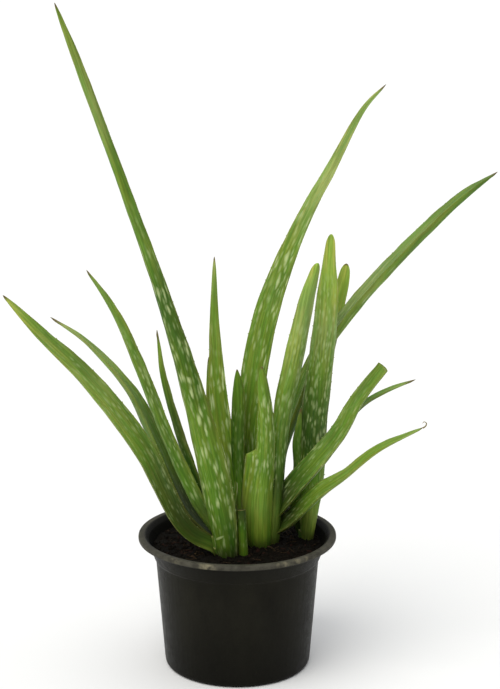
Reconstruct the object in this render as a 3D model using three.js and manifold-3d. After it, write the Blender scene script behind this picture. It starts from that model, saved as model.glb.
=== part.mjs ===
// A young potted aloe: a black nursery pot filled with soil, three short crowns
// and the leaves that grow from them.
// Millimetres, +Z up. The origin is the middle of the pot's underside, and -Y faces the viewer.

import * as THREE from "three";
import { mergeVertices } from "three/addons/utils/BufferGeometryUtils.js";
import Module from "manifold-3d";

const wasm = await Module();
wasm.setup();

// Clear gap kept between neighbouring pieces.
const GAP = 0.3;

const POT = {
  height: 82.5,
  wall: 1.3,
  lipRadius: 60,
  lipInnerRadius: 55.8,
  lipDepth: 3.2,
  lipEdge: 1.4,
  collarTopRadius: 54.4,
  collarBottomRadius: 50.4,
  collarBottomHeight: 68.2,
  shoulder: 0.9,
  footOuterRadius: 41,
  footInnerRadius: 34,
  cornerRise: 3.6,
  cornerReach: 3.2,
  hubRadius: 14,
  recess: 1.6,
  recessSlope: 1,
  floorThickness: 1.5,
  segments: 56,
};

const DRAIN = { count: 8, radius: 3.5, ringRadius: 26, segments: 20 };

const SOIL = {
  edgeHeight: 75.2,
  middleHeight: 77,
  shoulderRadius: 44,
  shoulderHeight: 76.2,
  segments: 48,
};

// Crowns are the short stems, partly sunk in the soil, that carry the leaves.
const CROWNS = [
  { name: "crown_left", x: -9, y: -18, radius: 7, foot: 58, top: 100 },
  { name: "crown_centre", x: 14, y: -2, radius: 7.5, foot: 58, top: 104 },
  { name: "crown_right", x: 41.5, y: 11, radius: 4.2, foot: 66, top: 97 },
];

const COLOURS = {
  plastic: "#1f1e1a",
  soil: "#1b1510",
  crown: "#566b26",
  deep: "#3c5818",
  leaf: "#5f8330",
  bright: "#7d9a3e",
  grey: "#6d8b4a",
};

// Leaves, ordered from the ones that keep their full shape to the ones that give way where
// bases crowd together. A station is [x, y, z, width] on the midrib, from the base to the tip.
// "face" is the way the hollowed upper side looks, "thick" and "channel" are shares of the
// width, and "tip" is the length over which the end rounds off. "flap" is a sheath that widens
// one margin more and more up to a height above the base.
const LEAVES = [
  {
    name: "leaf_short_front",
    colour: COLOURS.bright,
    stations: [[13.5, -11, 80, 15.5], [13.5, -12, 104, 16.5], [17, -14.5, 137, 11.8],
      [17, -17, 160, 9.4], [15.5, -20, 180, 6.3], [14.5, -21, 191.5, 3]],
    face: [-0.1, 1, 0],
    thick: 0.26,
    channel: 0.2,
    tip: 8,
    flap: { reach: 5.6, height: 55 },
  },
  {
    name: "leaf_tall_left",
    colour: COLOURS.leaf,
    stations: [[-7, -27, 81, 14], [-13, -25, 118, 19.5], [-25, -25, 171, 15], [-42, -30, 233, 9.5],
      [-66, -37, 307, 6.5], [-86, -44, 366, 5.5], [-98, -48, 401, 1.5]],
    face: [0.35, 0.9, 0],
    thick: 0.32,
    channel: 0.18,
    tip: 10,
  },
  {
    name: "leaf_far_left",
    colour: COLOURS.leaf,
    stations: [[-13, -21, 80, 10], [-33, -25, 96, 12], [-55, -31, 143.5, 15], [-83.5, -38, 185.5, 13],
      [-112.5, -44, 217.5, 8], [-131, -48, 239.5, 2]],
    face: [0.45, -0.65, 0.6],
    thick: 0.3,
    channel: 0.16,
    tip: 10,
  },
  {
    name: "leaf_mid_left",
    colour: COLOURS.leaf,
    stations: [[-13, -19, 90, 9], [-24.8, -17, 109.5, 12], [-40.5, -13, 144, 10.5],
      [-55, -9, 181.5, 10], [-70.5, -5, 218, 7], [-88, -2, 245, 1.5]],
    face: [0.6, 0.6, 0.3],
    thick: 0.34,
    channel: 0.16,
    tip: 10,
  },
  {
    name: "leaf_thin_left",
    colour: COLOURS.deep,
    stations: [[-13, -14, 84, 8], [-29.5, -9, 101, 13.5], [-48, 1, 141, 13],
      [-64.5, 9, 170.5, 8.5], [-89.5, 18, 196, 4.8], [-113, 26, 210.5, 1.5]],
    face: [0.6, -0.25, 0.75],
    thick: 0.5,
    channel: 0.14,
    tip: 10,
  },
  {
    name: "leaf_slim_left",
    colour: COLOURS.deep,
    stations: [[-11, -12, 92, 8], [-19.5, -5, 106, 8], [-32.5, 8, 138, 9], [-44, 23, 173, 6.5],
      [-49, 33, 201, 1.5]],
    face: [0.9, 0.3, 0.3],
    thick: 0.5,
    channel: 0.12,
    tip: 9,
  },
  {
    name: "leaf_upright_narrow",
    colour: COLOURS.leaf,
    stations: [[-7, -13, 92, 8], [-4.5, -8, 116, 9.5], [-9, -3, 148, 12], [-12, 2, 177, 10],
      [-13.5, 7, 210, 6], [-13.5, 14, 250, 1.5]],
    face: [0.1, -1, 0.1],
    thick: 0.3,
    channel: 0.2,
    tip: 10,
  },
  {
    name: "leaf_small_back",
    colour: COLOURS.grey,
    stations: [[-10, -13, 94, 6], [-12, -3, 128, 7.5], [-15.5, 4, 162, 7], [-17, 10, 189.5, 2]],
    face: [0.3, -0.9, 0],
    thick: 0.3,
    channel: 0.16,
    tip: 8,
  },
  {
    name: "leaf_tall_arched",
    colour: COLOURS.leaf,
    stations: [[11, 0, 97, 12], [6.5, 3, 128, 13], [9, 6, 167, 16], [19, 11, 219, 15],
      [38, 18, 268, 9.5], [57, 24, 303, 6.5], [73.5, 28, 334, 3.5], [88, 31, 350, 1.2]],
    face: [-0.3, -1, 0.2],
    thick: 0.32,
    channel: 0.18,
    tip: 10,
  },
  {
    name: "leaf_short_dark",
    colour: COLOURS.deep,
    stations: [[3, -4.5, 80, 8.5], [2, -6.5, 100, 8], [0.5, -7.5, 120, 8], [0, -7, 140, 8.5],
      [0.5, -5, 166, 8.5], [0, -4, 185.5, 2.5]],
    face: [0.3, 0.9, 0],
    thick: 0.3,
    channel: 0.18,
    tip: 7,
  },
  {
    name: "leaf_blunt_centre",
    colour: COLOURS.grey,
    stations: [[22, -6.8, 80, 7.6], [24, -7.5, 108, 8], [26.5, -5, 151, 11.2], [33, -7, 187, 12.4],
      [40.8, -10, 226.5, 9.7], [47, -12, 251, 4.6]],
    face: [-0.3, 1, 0],
    thick: 0.28,
    channel: 0.16,
    tip: 5,
  },
  {
    name: "leaf_cut_right",
    colour: COLOURS.leaf,
    stations: [[20, 1, 90, 12], [33.2, -7, 112, 15.5], [58.6, -15, 146.3, 13],
      [71, -18, 170, 10.5], [85.5, -22, 191, 9]],
    face: [-0.5, -0.6, 0.6],
    thick: 0.32,
    channel: 0.16,
    tip: 2,
  },
  {
    name: "leaf_low_right",
    colour: COLOURS.bright,
    stations: [[20.5, 0, 82, 9.5], [32, -8, 93.5, 12], [48.3, -18, 113.5, 11.4],
      [63.5, -24, 126.5, 7.5], [82, -32, 144.5, 6], [107, -42, 160.5, 1.5]],
    face: [-0.4, -0.5, 0.75],
    thick: 0.36,
    channel: 0.14,
    tip: 9,
  },
  {
    name: "leaf_long_right",
    colour: COLOURS.leaf,
    stations: [[17, 3, 88, 7], [23, 12, 106, 9], [27.5, 19, 131, 10], [35.5, 24.5, 155, 12],
      [50, 32, 187, 12], [74.5, 37, 219.5, 11.5], [105, 42, 252, 10.5], [135, 46, 280, 8],
      [158, 50, 295.5, 1.2]],
    face: [-0.55, -0.2, 0.75],
    thick: 0.5,
    channel: 0.2,
    tip: 10,
  },
  {
    name: "leaf_broad_right",
    colour: COLOURS.leaf,
    stations: [[43, 5.5, 79, 8], [46, 10, 113, 14.5], [46.5, 13, 144, 16.5], [51, 17, 185.5, 15.5],
      [54.5, 21, 221.5, 13.5], [55.5, 25, 245, 8], [56.5, 28, 261, 4.5]],
    face: [-0.1, 1, 0],
    thick: 0.26,
    channel: 0.18,
    tip: 6,
  },
  {
    name: "leaf_blunt_back",
    colour: COLOURS.bright,
    stations: [[43.5, 15, 86, 5.5], [48, 28, 118, 6], [53.5, 38, 170, 6.5], [60.5, 44, 206, 8],
      [65, 47, 228, 7.5], [67, 49, 239, 4.5]],
    face: [-0.2, -1, 0],
    thick: 0.3,
    channel: 0.16,
    tip: 5,
  },
  {
    name: "leaf_thread_right",
    colour: COLOURS.grey,
    stations: [[45.5, 12, 86, 4.5], [52, 21, 120.5, 5], [63.5, 24, 139.5, 5], [75, 24, 155, 4.5],
      [90.5, 24, 165, 4], [108.5, 24, 172, 1.2]],
    face: [-0.5, -0.3, 0.8],
    thick: 0.5,
    channel: 0.1,
    tip: 8,
  },
  {
    name: "leaf_sliver_right",
    colour: COLOURS.bright,
    stations: [[37.6, 12, 86, 9.5], [34.8, 13, 101, 11], [36.8, 14, 118, 7.5], [36, 14, 136, 6.5],
      [38.5, 13, 157, 1.5]],
    face: [0.6, 0.8, 0],
    thick: 0.34,
    channel: 0.14,
    tip: 7,
  },
  {
    name: "leaf_stub_front",
    colour: COLOURS.deep,
    stations: [[3, -23, 70, 6], [3, -23.5, 88, 6], [2.5, -24, 105, 5.5]],
    face: [0.1, 1, 0],
    thick: 0.5,
    channel: 0.12,
    tip: 1.5,
  },
];

const LEAF_RINGS = 20;
const LEAF_SIDES = 10;
// Above 1, rings crowd towards the tip, where the outline turns fastest.
const TIP_CROWDING = 1.3;
const THINNEST_LEAF = 1.2;
// Length over which a flap falls back to the leaf's own margin.
const FLAP_FALL = 4;
// Share of a leaf's thickness that lies on its rounded lower side.
const LOWER_SHARE = 0.8;

function pieceMaterial(colour, roughness) {
  return new THREE.MeshStandardMaterial({ color: colour, roughness, metalness: 0 });
}

/** A closed solid with the geometry's shape. */
function solidOf(geometry) {
  const bare = geometry.clone();
  bare.deleteAttribute("normal");
  bare.deleteAttribute("uv");
  const merged = mergeVertices(bare, 1e-5);
  return new wasm.Manifold(new wasm.Mesh({
    numProp: 3,
    vertProperties: new Float32Array(merged.attributes.position.array),
    triVerts: new Uint32Array(merged.index.array),
  }));
}

/** The solid's surface as a geometry. */
function geometryOf(solid) {
  const mesh = solid.getMesh();
  const geometry = new THREE.BufferGeometry();
  geometry.setAttribute("position", new THREE.BufferAttribute(mesh.vertProperties, 3));
  geometry.setIndex(new THREE.BufferAttribute(mesh.triVerts, 1));
  geometry.computeVertexNormals();
  return geometry;
}

/** The biggest of the bodies that a cut leaves. */
function largestBody(solid) {
  const bodies = solid.decompose();
  return bodies.reduce((best, body) => (body.volume() > best.volume() ? body : best));
}

/** A body turned about Z. The profile holds [radius, height] pairs that start and end on the axis. */
function turned(profile, segments) {
  const points = profile.map(([radius, height]) => new THREE.Vector2(radius, height));
  const geometry = new THREE.LatheGeometry(points, segments);
  geometry.rotateX(Math.PI / 2);
  return geometry;
}

/** The pot's inner radius at a height on its sloping wall or collar. */
function innerRadiusAt(height) {
  const wallTop = POT.collarBottomRadius - POT.shoulder - POT.wall;
  const wallBottom = POT.footOuterRadius + POT.cornerReach - POT.wall;
  const collarBottom = POT.collarBottomRadius - POT.wall;
  const collarTop = POT.collarTopRadius - POT.wall;
  const collarHeight = POT.height - POT.lipDepth;
  if (height > POT.collarBottomHeight) {
    return THREE.MathUtils.mapLinear(
      height, POT.collarBottomHeight, collarHeight, collarBottom, collarTop);
  }
  return THREE.MathUtils.mapLinear(
    height, POT.cornerRise, POT.collarBottomHeight - POT.shoulder, wallBottom, wallTop);
}

/** One rounded corner of an outline, as points on an ellipse. */
function quarter(centre, reach, rise, startAngle, endAngle, steps) {
  const points = [];
  for (let i = 0; i <= steps; i += 1) {
    const angle = THREE.MathUtils.lerp(startAngle, endAngle, i / steps);
    points.push([centre[0] + reach * Math.cos(angle), centre[1] + rise * Math.sin(angle)]);
  }
  return points;
}

const FLOOR_TOP = POT.recess + POT.floorThickness;

function potSolid() {
  const lipBottom = POT.height - POT.lipDepth;
  const wallTop = POT.collarBottomHeight - POT.shoulder;
  const lipCentre = POT.lipRadius - POT.lipEdge;
  const outside = [
    [0, 0],
    [POT.hubRadius, 0],
    [POT.hubRadius + POT.recessSlope, POT.recess],
    [POT.footInnerRadius - POT.recessSlope, POT.recess],
    [POT.footInnerRadius, 0],
    ...quarter([POT.footOuterRadius, POT.cornerRise], POT.cornerReach, POT.cornerRise,
      -Math.PI / 2, 0, 4),
    [POT.collarBottomRadius - POT.shoulder, wallTop],
    [POT.collarBottomRadius, POT.collarBottomHeight],
    [POT.collarTopRadius, lipBottom],
    ...quarter([lipCentre, lipBottom + POT.lipEdge], POT.lipEdge, POT.lipEdge,
      -Math.PI / 2, 0, 3),
    ...quarter([lipCentre, POT.height - POT.lipEdge], POT.lipEdge, POT.lipEdge,
      0, Math.PI / 2, 3),
    ...quarter([POT.lipInnerRadius + POT.lipEdge, POT.height - POT.lipEdge], POT.lipEdge,
      POT.lipEdge, Math.PI / 2, Math.PI, 3),
  ];
  const inside = [
    [innerRadiusAt(lipBottom), lipBottom],
    [innerRadiusAt(POT.collarBottomHeight + GAP), POT.collarBottomHeight + GAP],
    [innerRadiusAt(wallTop), wallTop],
    [innerRadiusAt(FLOOR_TOP + POT.cornerRise), FLOOR_TOP + POT.cornerRise],
    [POT.footOuterRadius - POT.wall, FLOOR_TOP],
    [0, FLOOR_TOP],
  ];
  let pot = solidOf(turned([...outside, ...inside], POT.segments));
  for (let i = 0; i < DRAIN.count; i += 1) {
    const angle = (2 * Math.PI * (i + 0.5)) / DRAIN.count;
    const hole = new THREE.CylinderGeometry(
      DRAIN.radius, DRAIN.radius, 4 * FLOOR_TOP, DRAIN.segments);
    hole.rotateX(Math.PI / 2);
    hole.translate(DRAIN.ringRadius * Math.cos(angle), DRAIN.ringRadius * Math.sin(angle), 0);
    pot = pot.subtract(solidOf(hole));
  }
  return pot;
}

function soilSolid(pockets) {
  const wallTop = POT.collarBottomHeight - POT.shoulder;
  const floor = FLOOR_TOP + GAP;
  const cornerHeight = FLOOR_TOP + POT.cornerRise;
  const profile = [
    [0, floor],
    [POT.footOuterRadius - POT.wall - GAP, floor],
    [innerRadiusAt(cornerHeight) - GAP, cornerHeight + GAP],
    [innerRadiusAt(wallTop) - GAP, wallTop],
    [innerRadiusAt(SOIL.edgeHeight) - 2 * GAP, SOIL.edgeHeight],
    [SOIL.shoulderRadius, SOIL.shoulderHeight],
    [SOIL.shoulderRadius / 2, SOIL.middleHeight],
    [0, SOIL.middleHeight],
  ];
  const soil = solidOf(turned(profile, SOIL.segments));
  return largestBody(pockets.reduce((rest, pocket) => rest.subtract(pocket), soil));
}

/** A crown: a rounded column that narrows to the growing point. "grow" swells it all round. */
function crownSolid({ x, y, radius, foot, top }, grow = 0) {
  const waist = (top + SOIL.middleHeight) / 2;
  const profile = [
    [0, foot - grow],
    [0.7 * radius + grow, foot - grow],
    [radius + grow, foot + 0.6 * radius],
    [radius + grow, SOIL.middleHeight],
    [0.85 * radius + grow, waist],
    [0.5 * radius + grow, top - 0.3 * radius],
    [0.25 * radius + grow, top + grow],
    [0, top + grow],
  ];
  const geometry = turned(profile, 20);
  geometry.translate(x, y, 0);
  return solidOf(geometry);
}

/** How far a flap widens its margin at a distance from the leaf's base. */
function flapReach({ flap }, distance) {
  if (!flap) return 0;
  const fall = THREE.MathUtils.smoothstep(distance, flap.height, flap.height + FLAP_FALL);
  return (flap.reach * distance * (1 - fall)) / flap.height;
}

/** The leaf's section at one place: offsets [across, up] from the midrib, "up" towards its face. */
function leafSection(width, reach, leaf) {
  const thickness = Math.max(THINNEST_LEAF, leaf.thick * width);
  const ring = [];
  for (let i = 0; i < LEAF_SIDES; i += 1) {
    const angle = (2 * Math.PI * i) / LEAF_SIDES;
    const share = Math.sin(angle) > 0 ? 1 - LOWER_SHARE : LOWER_SHARE;
    const rise = share * thickness * Math.sin(angle) + leaf.channel * width * Math.cos(angle) ** 2;
    const half = Math.cos(angle) < 0 ? width / 2 + reach : width / 2;
    ring.push(new THREE.Vector2(half * Math.cos(angle), rise));
  }
  return ring;
}

/** The section moved outwards, each side by at least the distance. */
function swollen(ring, distance) {
  const outward = (from, to) => new THREE.Vector2(to.y - from.y, from.x - to.x).normalize();
  return ring.map((corner, i) => {
    const before = outward(ring.at(i - 1), corner);
    const after = outward(corner, ring[(i + 1) % ring.length]);
    const middle = before.clone().add(after).normalize();
    return corner.clone().addScaledVector(middle, distance / Math.max(0.5, middle.dot(after)));
  });
}

/** The leaf's corners, ring after ring from base to tip. "grow" swells it all round. */
function leafRings(leaf, spine, grow) {
  const widths = new THREE.CatmullRomCurve3(
    leaf.stations.map((station) => new THREE.Vector3(station[3], 0, 0)), false, "catmullrom");
  const length = spine.getLength();
  const face = new THREE.Vector3(...leaf.face);
  const corners = [];
  for (let i = 0; i < LEAF_RINGS; i += 1) {
    const along = 1 - (1 - i / LEAF_RINGS) ** TIP_CROWDING;
    const t = spine.getUtoTmapping(along);
    const tipShare = Math.min(1, ((1 - along) * length) / leaf.tip);
    const width = widths.getPoint(t).x * Math.sqrt(1 - (1 - tipShare) ** 2);
    const tangent = spine.getTangent(t);
    const up = face.clone().addScaledVector(tangent, -face.dot(tangent)).normalize();
    const side = new THREE.Vector3().crossVectors(up, tangent);
    const centre = spine.getPoint(t).addScaledVector(tangent, i === 0 ? -grow : 0);
    const section = leafSection(width, flapReach(leaf, along * length), leaf);
    for (const { x, y } of swollen(section, grow)) {
      corners.push(centre.clone().addScaledVector(side, x).addScaledVector(up, y));
    }
  }
  return corners;
}

/** A leaf: a skin over its rings, closed by a flat base and a point. */
function leafSolid(leaf, grow = 0) {
  const spine = new THREE.CatmullRomCurve3(
    leaf.stations.map(([x, y, z]) => new THREE.Vector3(x, y, z)), false, "catmullrom");
  const corners = leafRings(leaf, spine, grow);
  const baseCentre = corners.length;
  const tipPoint = baseCentre + 1;
  corners.push(
    spine.getPoint(0).addScaledVector(spine.getTangent(0), -grow),
    spine.getPoint(1).addScaledVector(spine.getTangent(1), grow),
  );

  const lastRing = baseCentre - LEAF_SIDES;
  const index = [];
  for (let j = 0; j < LEAF_SIDES; j += 1) {
    const next = (j + 1) % LEAF_SIDES;
    index.push(baseCentre, next, j);
    index.push(tipPoint, lastRing + j, lastRing + next);
    for (let ring = 0; ring < lastRing; ring += LEAF_SIDES) {
      index.push(ring + j, ring + next, ring + LEAF_SIDES + next);
      index.push(ring + j, ring + LEAF_SIDES + next, ring + LEAF_SIDES + j);
    }
  }
  const geometry = new THREE.BufferGeometry().setFromPoints(corners);
  geometry.setIndex(index);
  return solidOf(geometry);
}

const plant = new THREE.Group();

function addPiece(name, solid, material) {
  const mesh = new THREE.Mesh(geometryOf(solid), material);
  mesh.name = name;
  plant.add(mesh);
}

addPiece("pot", potSolid(), pieceMaterial(COLOURS.plastic, 0.45));

// Whatever stands in the soil, swollen by the gap: the soil leaves room for it.
const stub = LEAVES.find((leaf) => leaf.name === "leaf_stub_front");
const swollenCrowns = CROWNS.map((crown) => crownSolid(crown, GAP));
addPiece(
  "soil",
  soilSolid([...swollenCrowns, leafSolid(stub, GAP)]),
  pieceMaterial(COLOURS.soil, 0.95),
);

for (const crown of CROWNS) {
  addPiece(crown.name, crownSolid(crown), pieceMaterial(COLOURS.crown, 0.55));
}

// Each leaf gives way to the crowns and to the leaves placed before it.
const placed = [...swollenCrowns];
for (const leaf of LEAVES) {
  const clear = placed.reduce((rest, other) => rest.subtract(other), leafSolid(leaf));
  const solid = largestBody(clear);
  addPiece(leaf.name, solid, pieceMaterial(leaf.colour, 0.5));
  placed.push(leafSolid(leaf, GAP).add(solid));
}

export default plant;
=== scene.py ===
"""A young aloe in a black nursery pot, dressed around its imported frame.

The plant is three short crowns with their leaves, the potting soil that they stand in and the
moulded pot. Lengths are millimetres unless a name says otherwise, and become metres when a mesh
is made. +Z is up and -Y faces the viewer.
"""

import logging
import math
from collections.abc import Sequence
from dataclasses import dataclass, field
from enum import Enum

import bpy
import numpy as np
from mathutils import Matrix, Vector, noise


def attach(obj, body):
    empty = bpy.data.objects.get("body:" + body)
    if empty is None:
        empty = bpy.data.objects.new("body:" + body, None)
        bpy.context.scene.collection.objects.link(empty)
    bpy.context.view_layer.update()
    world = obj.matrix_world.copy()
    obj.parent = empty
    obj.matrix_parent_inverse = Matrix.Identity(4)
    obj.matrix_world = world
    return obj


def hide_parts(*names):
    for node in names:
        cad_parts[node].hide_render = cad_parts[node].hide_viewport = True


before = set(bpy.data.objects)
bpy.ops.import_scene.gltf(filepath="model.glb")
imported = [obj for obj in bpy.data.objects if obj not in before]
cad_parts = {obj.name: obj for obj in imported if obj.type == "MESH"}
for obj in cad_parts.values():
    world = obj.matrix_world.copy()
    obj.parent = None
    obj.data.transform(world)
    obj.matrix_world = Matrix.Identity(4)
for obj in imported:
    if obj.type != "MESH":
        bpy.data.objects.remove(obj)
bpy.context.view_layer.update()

LOG = logging.getLogger("potted_aloe")
MM = 0.001
BODY = "root"

Socket = bpy.types.NodeSocket
Colour = tuple[float, float, float]
Station = tuple[float, float, float, float]


def srgb(red: int, green: int, blue: int) -> Colour:
    """The linear colour of a screen colour whose red, green and blue go from 0 to 255."""
    shares = [value / 255 for value in (red, green, blue)]
    return tuple(s / 12.92 if s <= 0.04045 else ((s + 0.055) / 1.055) ** 2.4 for s in shares)


class Tone(Enum):
    """The plant's colours. NIGHT, SHADE and UMBER, set near a leaf's base and in sheltered
    stretches, also stand for the shade there: painted shade.
    """

    # The colour of the painted shade where the leaves go into the soil.
    SOIL_LINE_SHADE = srgb(40, 46, 18)
    NIGHT = srgb(38, 57, 9)
    SHADE = srgb(47, 74, 11)
    UMBER = srgb(54, 71, 18)
    DEEP = srgb(61, 92, 16)
    KHAKI = srgb(72, 94, 28)
    MOSS = srgb(76, 106, 23)
    FERN = srgb(86, 118, 29)
    LEAF = srgb(96, 126, 35)
    SHEATH = srgb(107, 134, 39)
    FRESH = srgb(113, 138, 50)
    SAGE = srgb(123, 145, 68)
    LIME = srgb(138, 160, 58)
    GLOW = srgb(155, 175, 69)
    PALE = srgb(140, 160, 82)
    MIST = srgb(158, 168, 132)
    CREAM = srgb(188, 202, 142)
    STRAW = srgb(176, 164, 112)
    OLIVE = srgb(126, 124, 62)
    BARK = srgb(96, 80, 50)


class LeafEnd(Enum):
    """How a leaf ends."""

    POINTED = "pointed"
    CUT = "cut"


class Recipe:
    """A material's node tree, built one step at a time.

    Args:
        name: the material's name.
    """

    def __init__(self, name: str) -> None:
        self.material = bpy.data.materials.new(name)
        self.material.use_nodes = True
        self.tree = self.material.node_tree
        self.shader = self.tree.nodes["Principled BSDF"]

    def plug(self, socket: Socket, value: "Socket | float | Sequence[float]") -> None:
        """Give a socket a link or a plain value.

        Args:
            socket: the input to set.
            value: another node's output, or the value itself.
        """
        if isinstance(value, bpy.types.NodeSocket):
            self.tree.links.new(value, socket)
        elif socket.type == "RGBA" and len(value) == 3:
            socket.default_value = (*value, 1.0)
        else:
            socket.default_value = value

    def attribute(self, name: str, output: str = "Vector") -> Socket:
        """A mesh attribute.

        Args:
            name: the attribute's name.
            output: "Vector" for three numbers, "Fac" for one.

        Returns:
            Its value.
        """
        node = self.tree.nodes.new("ShaderNodeAttribute")
        node.attribute_name = name
        return node.outputs[output]

    def maths(self, operation: str, first: "Socket | float", second: "Socket | float" = 0.0,
              clamp: bool = False) -> Socket:
        """One step of arithmetic.

        Args:
            operation: the operation's name.
            first: the first number.
            second: the second number.
            clamp: True keeps the result from 0 to 1.

        Returns:
            The result.
        """
        node = self.tree.nodes.new("ShaderNodeMath")
        node.operation = operation
        node.use_clamp = clamp
        self.plug(node.inputs[0], first)
        self.plug(node.inputs[1], second)
        return node.outputs[0]

    def times(self, first: Socket, *factors: "Socket | float") -> Socket:
        """A number multiplied by some others.

        Args:
            first: the number.
            factors: the others.

        Returns:
            The product.
        """
        for factor in factors:
            first = self.maths("MULTIPLY", first, factor)
        return first

    def parts(self, vector: Socket) -> tuple[Socket, Socket, Socket]:
        """The three numbers of a vector.

        Args:
            vector: the vector.

        Returns:
            Its x, y and z.
        """
        node = self.tree.nodes.new("ShaderNodeSeparateXYZ")
        self.plug(node.inputs[0], vector)
        return tuple(node.outputs)

    def scaled(self, vector: Socket, factors: Sequence[float]) -> Socket:
        """A vector with each number multiplied.

        Args:
            vector: the vector.
            factors: the factor for each number.

        Returns:
            The product.
        """
        node = self.tree.nodes.new("ShaderNodeVectorMath")
        node.operation = "MULTIPLY"
        self.plug(node.inputs[0], vector)
        self.plug(node.inputs[1], factors)
        return node.outputs[0]

    def cloud(self, place: Socket, scale: float, detail: float = 2.0,
              rough: float = 0.5) -> Socket:
        """Soft noise around one half.

        Args:
            place: the coordinates.
            scale: how many lumps go to a unit.
            detail: how many finer layers there are.
            rough: how strong the finer layers are.

        Returns:
            The noise.
        """
        node = self.tree.nodes.new("ShaderNodeTexNoise")
        self.plug(node.inputs["Vector"], place)
        node.inputs["Scale"].default_value = scale
        node.inputs["Detail"].default_value = detail
        node.inputs["Roughness"].default_value = rough
        return node.outputs[0]

    def grain(self, place: Socket, factors: Sequence[float], detail: float = 2.0,
              rough: float = 0.5) -> Socket:
        """Soft noise as in cloud, with its own number of lumps to a unit in each direction."""
        return self.cloud(self.scaled(place, factors), 1.0, detail, rough)

    def cells(self, place: Socket, jitter: float = 1.0) -> tuple[Socket, Socket]:
        """Scattered cells, about one to a unit.

        Args:
            place: the coordinates.
            jitter: how unevenly they lie, from 0 to 1.

        Returns:
            The distance to the nearest cell's middle, and that cell's own random number.
        """
        node = self.tree.nodes.new("ShaderNodeTexVoronoi")
        self.plug(node.inputs["Vector"], place)
        node.inputs["Scale"].default_value = 1.0
        node.inputs["Randomness"].default_value = jitter
        return node.outputs["Distance"], self.parts(node.outputs["Color"])[0]

    def ease(self, value: Socket, start: float, end: float, low: float = 0.0,
             high: float = 1.0) -> Socket:
        """A smooth step from one value to another.

        Args:
            value: what drives the step.
            start: where it begins.
            end: where it ends.
            low: the result at the start.
            high: the result at the end.

        Returns:
            The eased value.
        """
        node = self.tree.nodes.new("ShaderNodeMapRange")
        node.interpolation_type = "SMOOTHSTEP"
        self.plug(node.inputs["Value"], value)
        for name, number in zip(("From Min", "From Max", "To Min", "To Max"),
                                (start, end, low, high)):
            node.inputs[name].default_value = number
        return node.outputs[0]

    def blend(self, share: "Socket | float", first: "Socket | Colour",
              second: "Socket | Colour", mode: str = "MIX") -> Socket:
        """Two colours mixed.

        Args:
            share: how much of the second there is.
            first: the colour underneath.
            second: the colour on top.
            mode: how the second is laid on.

        Returns:
            The mixed colour.
        """
        node = self.tree.nodes.new("ShaderNodeMix")
        node.data_type = "RGBA"
        node.blend_type = mode
        self.plug(node.inputs[0], share)
        self.plug(node.inputs[6], first)
        self.plug(node.inputs[7], second)
        return node.outputs[2]

    def tint(self, colour: Socket, factors: "Socket | Colour",
             share: "Socket | float" = 1.0) -> Socket:
        """A colour multiplied by factors, of which a share shows."""
        return self.blend(share, colour, factors, "MULTIPLY")

    def ramp(self, value: Socket, stops: Sequence[tuple[float, Colour]]) -> Socket:
        """A run of colours.

        Args:
            value: the place on the run, from 0 to 1.
            stops: places and their colours, in order.

        Returns:
            The colour.
        """
        node = self.tree.nodes.new("ShaderNodeValToRGB")
        elements = node.color_ramp.elements
        while len(elements) < len(stops):
            elements.new(0.5)
        for element, (place, colour) in zip(elements, stops):
            element.position = place
            element.color = (*colour, 1.0)
        self.plug(node.inputs[0], value)
        return node.outputs[0]

    def relief(self, height: Socket, distance: float) -> Socket:
        """Fine relief in the surface.

        Args:
            height: the relief's height, from 0 to 1.
            distance: what a height of 1 measures, in metres.

        Returns:
            The bent normal.
        """
        node = self.tree.nodes.new("ShaderNodeBump")
        node.inputs["Strength"].default_value = 1.0
        node.inputs["Distance"].default_value = distance
        self.plug(node.inputs["Height"], height)
        return node.outputs[0]

    def finish(self, colour: Socket, roughness: Socket, normal: Socket,
               **constants: float) -> bpy.types.Material:
        """Set the shader.

        Args:
            colour: the base colour.
            roughness: the roughness.
            normal: the normal.
            constants: the shader's other inputs, with spaces written as underscores.

        Returns:
            The material.
        """
        self.plug(self.shader.inputs["Base Color"], colour)
        self.plug(self.shader.inputs["Roughness"], roughness)
        self.plug(self.shader.inputs["Normal"], normal)
        for name, value in constants.items():
            self.shader.inputs[name.replace("_", " ")].default_value = value
        return self.material


@dataclass
class Surface:
    """Points and faces of a piece, in millimetres, with numbers for its finish.

    Attributes:
        points: the points.
        faces: the corners of each face.
        numbers: named numbers or vectors, one for each point.
    """

    points: list[Sequence[float]] = field(default_factory=list)
    faces: list[Sequence[int]] = field(default_factory=list)
    numbers: dict[str, list] = field(default_factory=dict)

    def add(self, points: Sequence[Sequence[float]], faces: Sequence[Sequence[int]],
            **numbers: Sequence) -> None:
        """Add more points and faces.

        Args:
            points: the points.
            faces: faces over these points, counted from 0.
            numbers: the finish numbers of these points.
        """
        first = len(self.points)
        self.points.extend(points)
        self.faces.extend([first + corner for corner in face] for face in faces)
        for name, values in numbers.items():
            self.numbers.setdefault(name, []).extend(values)

    def mesh(self, name: str, sharp_angle: float = math.pi) -> bpy.types.Mesh:
        """The mesh, in metres.

        Args:
            name: its name.
            sharp_angle: edges that turn more than this stay crisp, in radians.

        Returns:
            The mesh.
        """
        mesh = bpy.data.meshes.new(name)
        mesh.from_pydata(np.asarray(self.points, float) * MM, [], self.faces)
        mesh.shade_smooth()
        mesh.set_sharp_from_angle(angle=sharp_angle)
        for key, values in self.numbers.items():
            store(mesh, key, values)
        return mesh


def store(mesh: bpy.types.Mesh, key: str, values: Sequence) -> None:
    """Give a mesh named numbers or vectors for its finish.

    Args:
        mesh: the mesh.
        key: their name.
        values: one number or vector for each point.
    """
    table = np.asarray(values, np.float32)
    kind, slot = ("FLOAT", "value") if table.ndim == 1 else ("FLOAT_VECTOR", "vector")
    layer = mesh.attributes.new(key, kind, "POINT")
    layer.data.foreach_set(slot, table.ravel())


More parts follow.
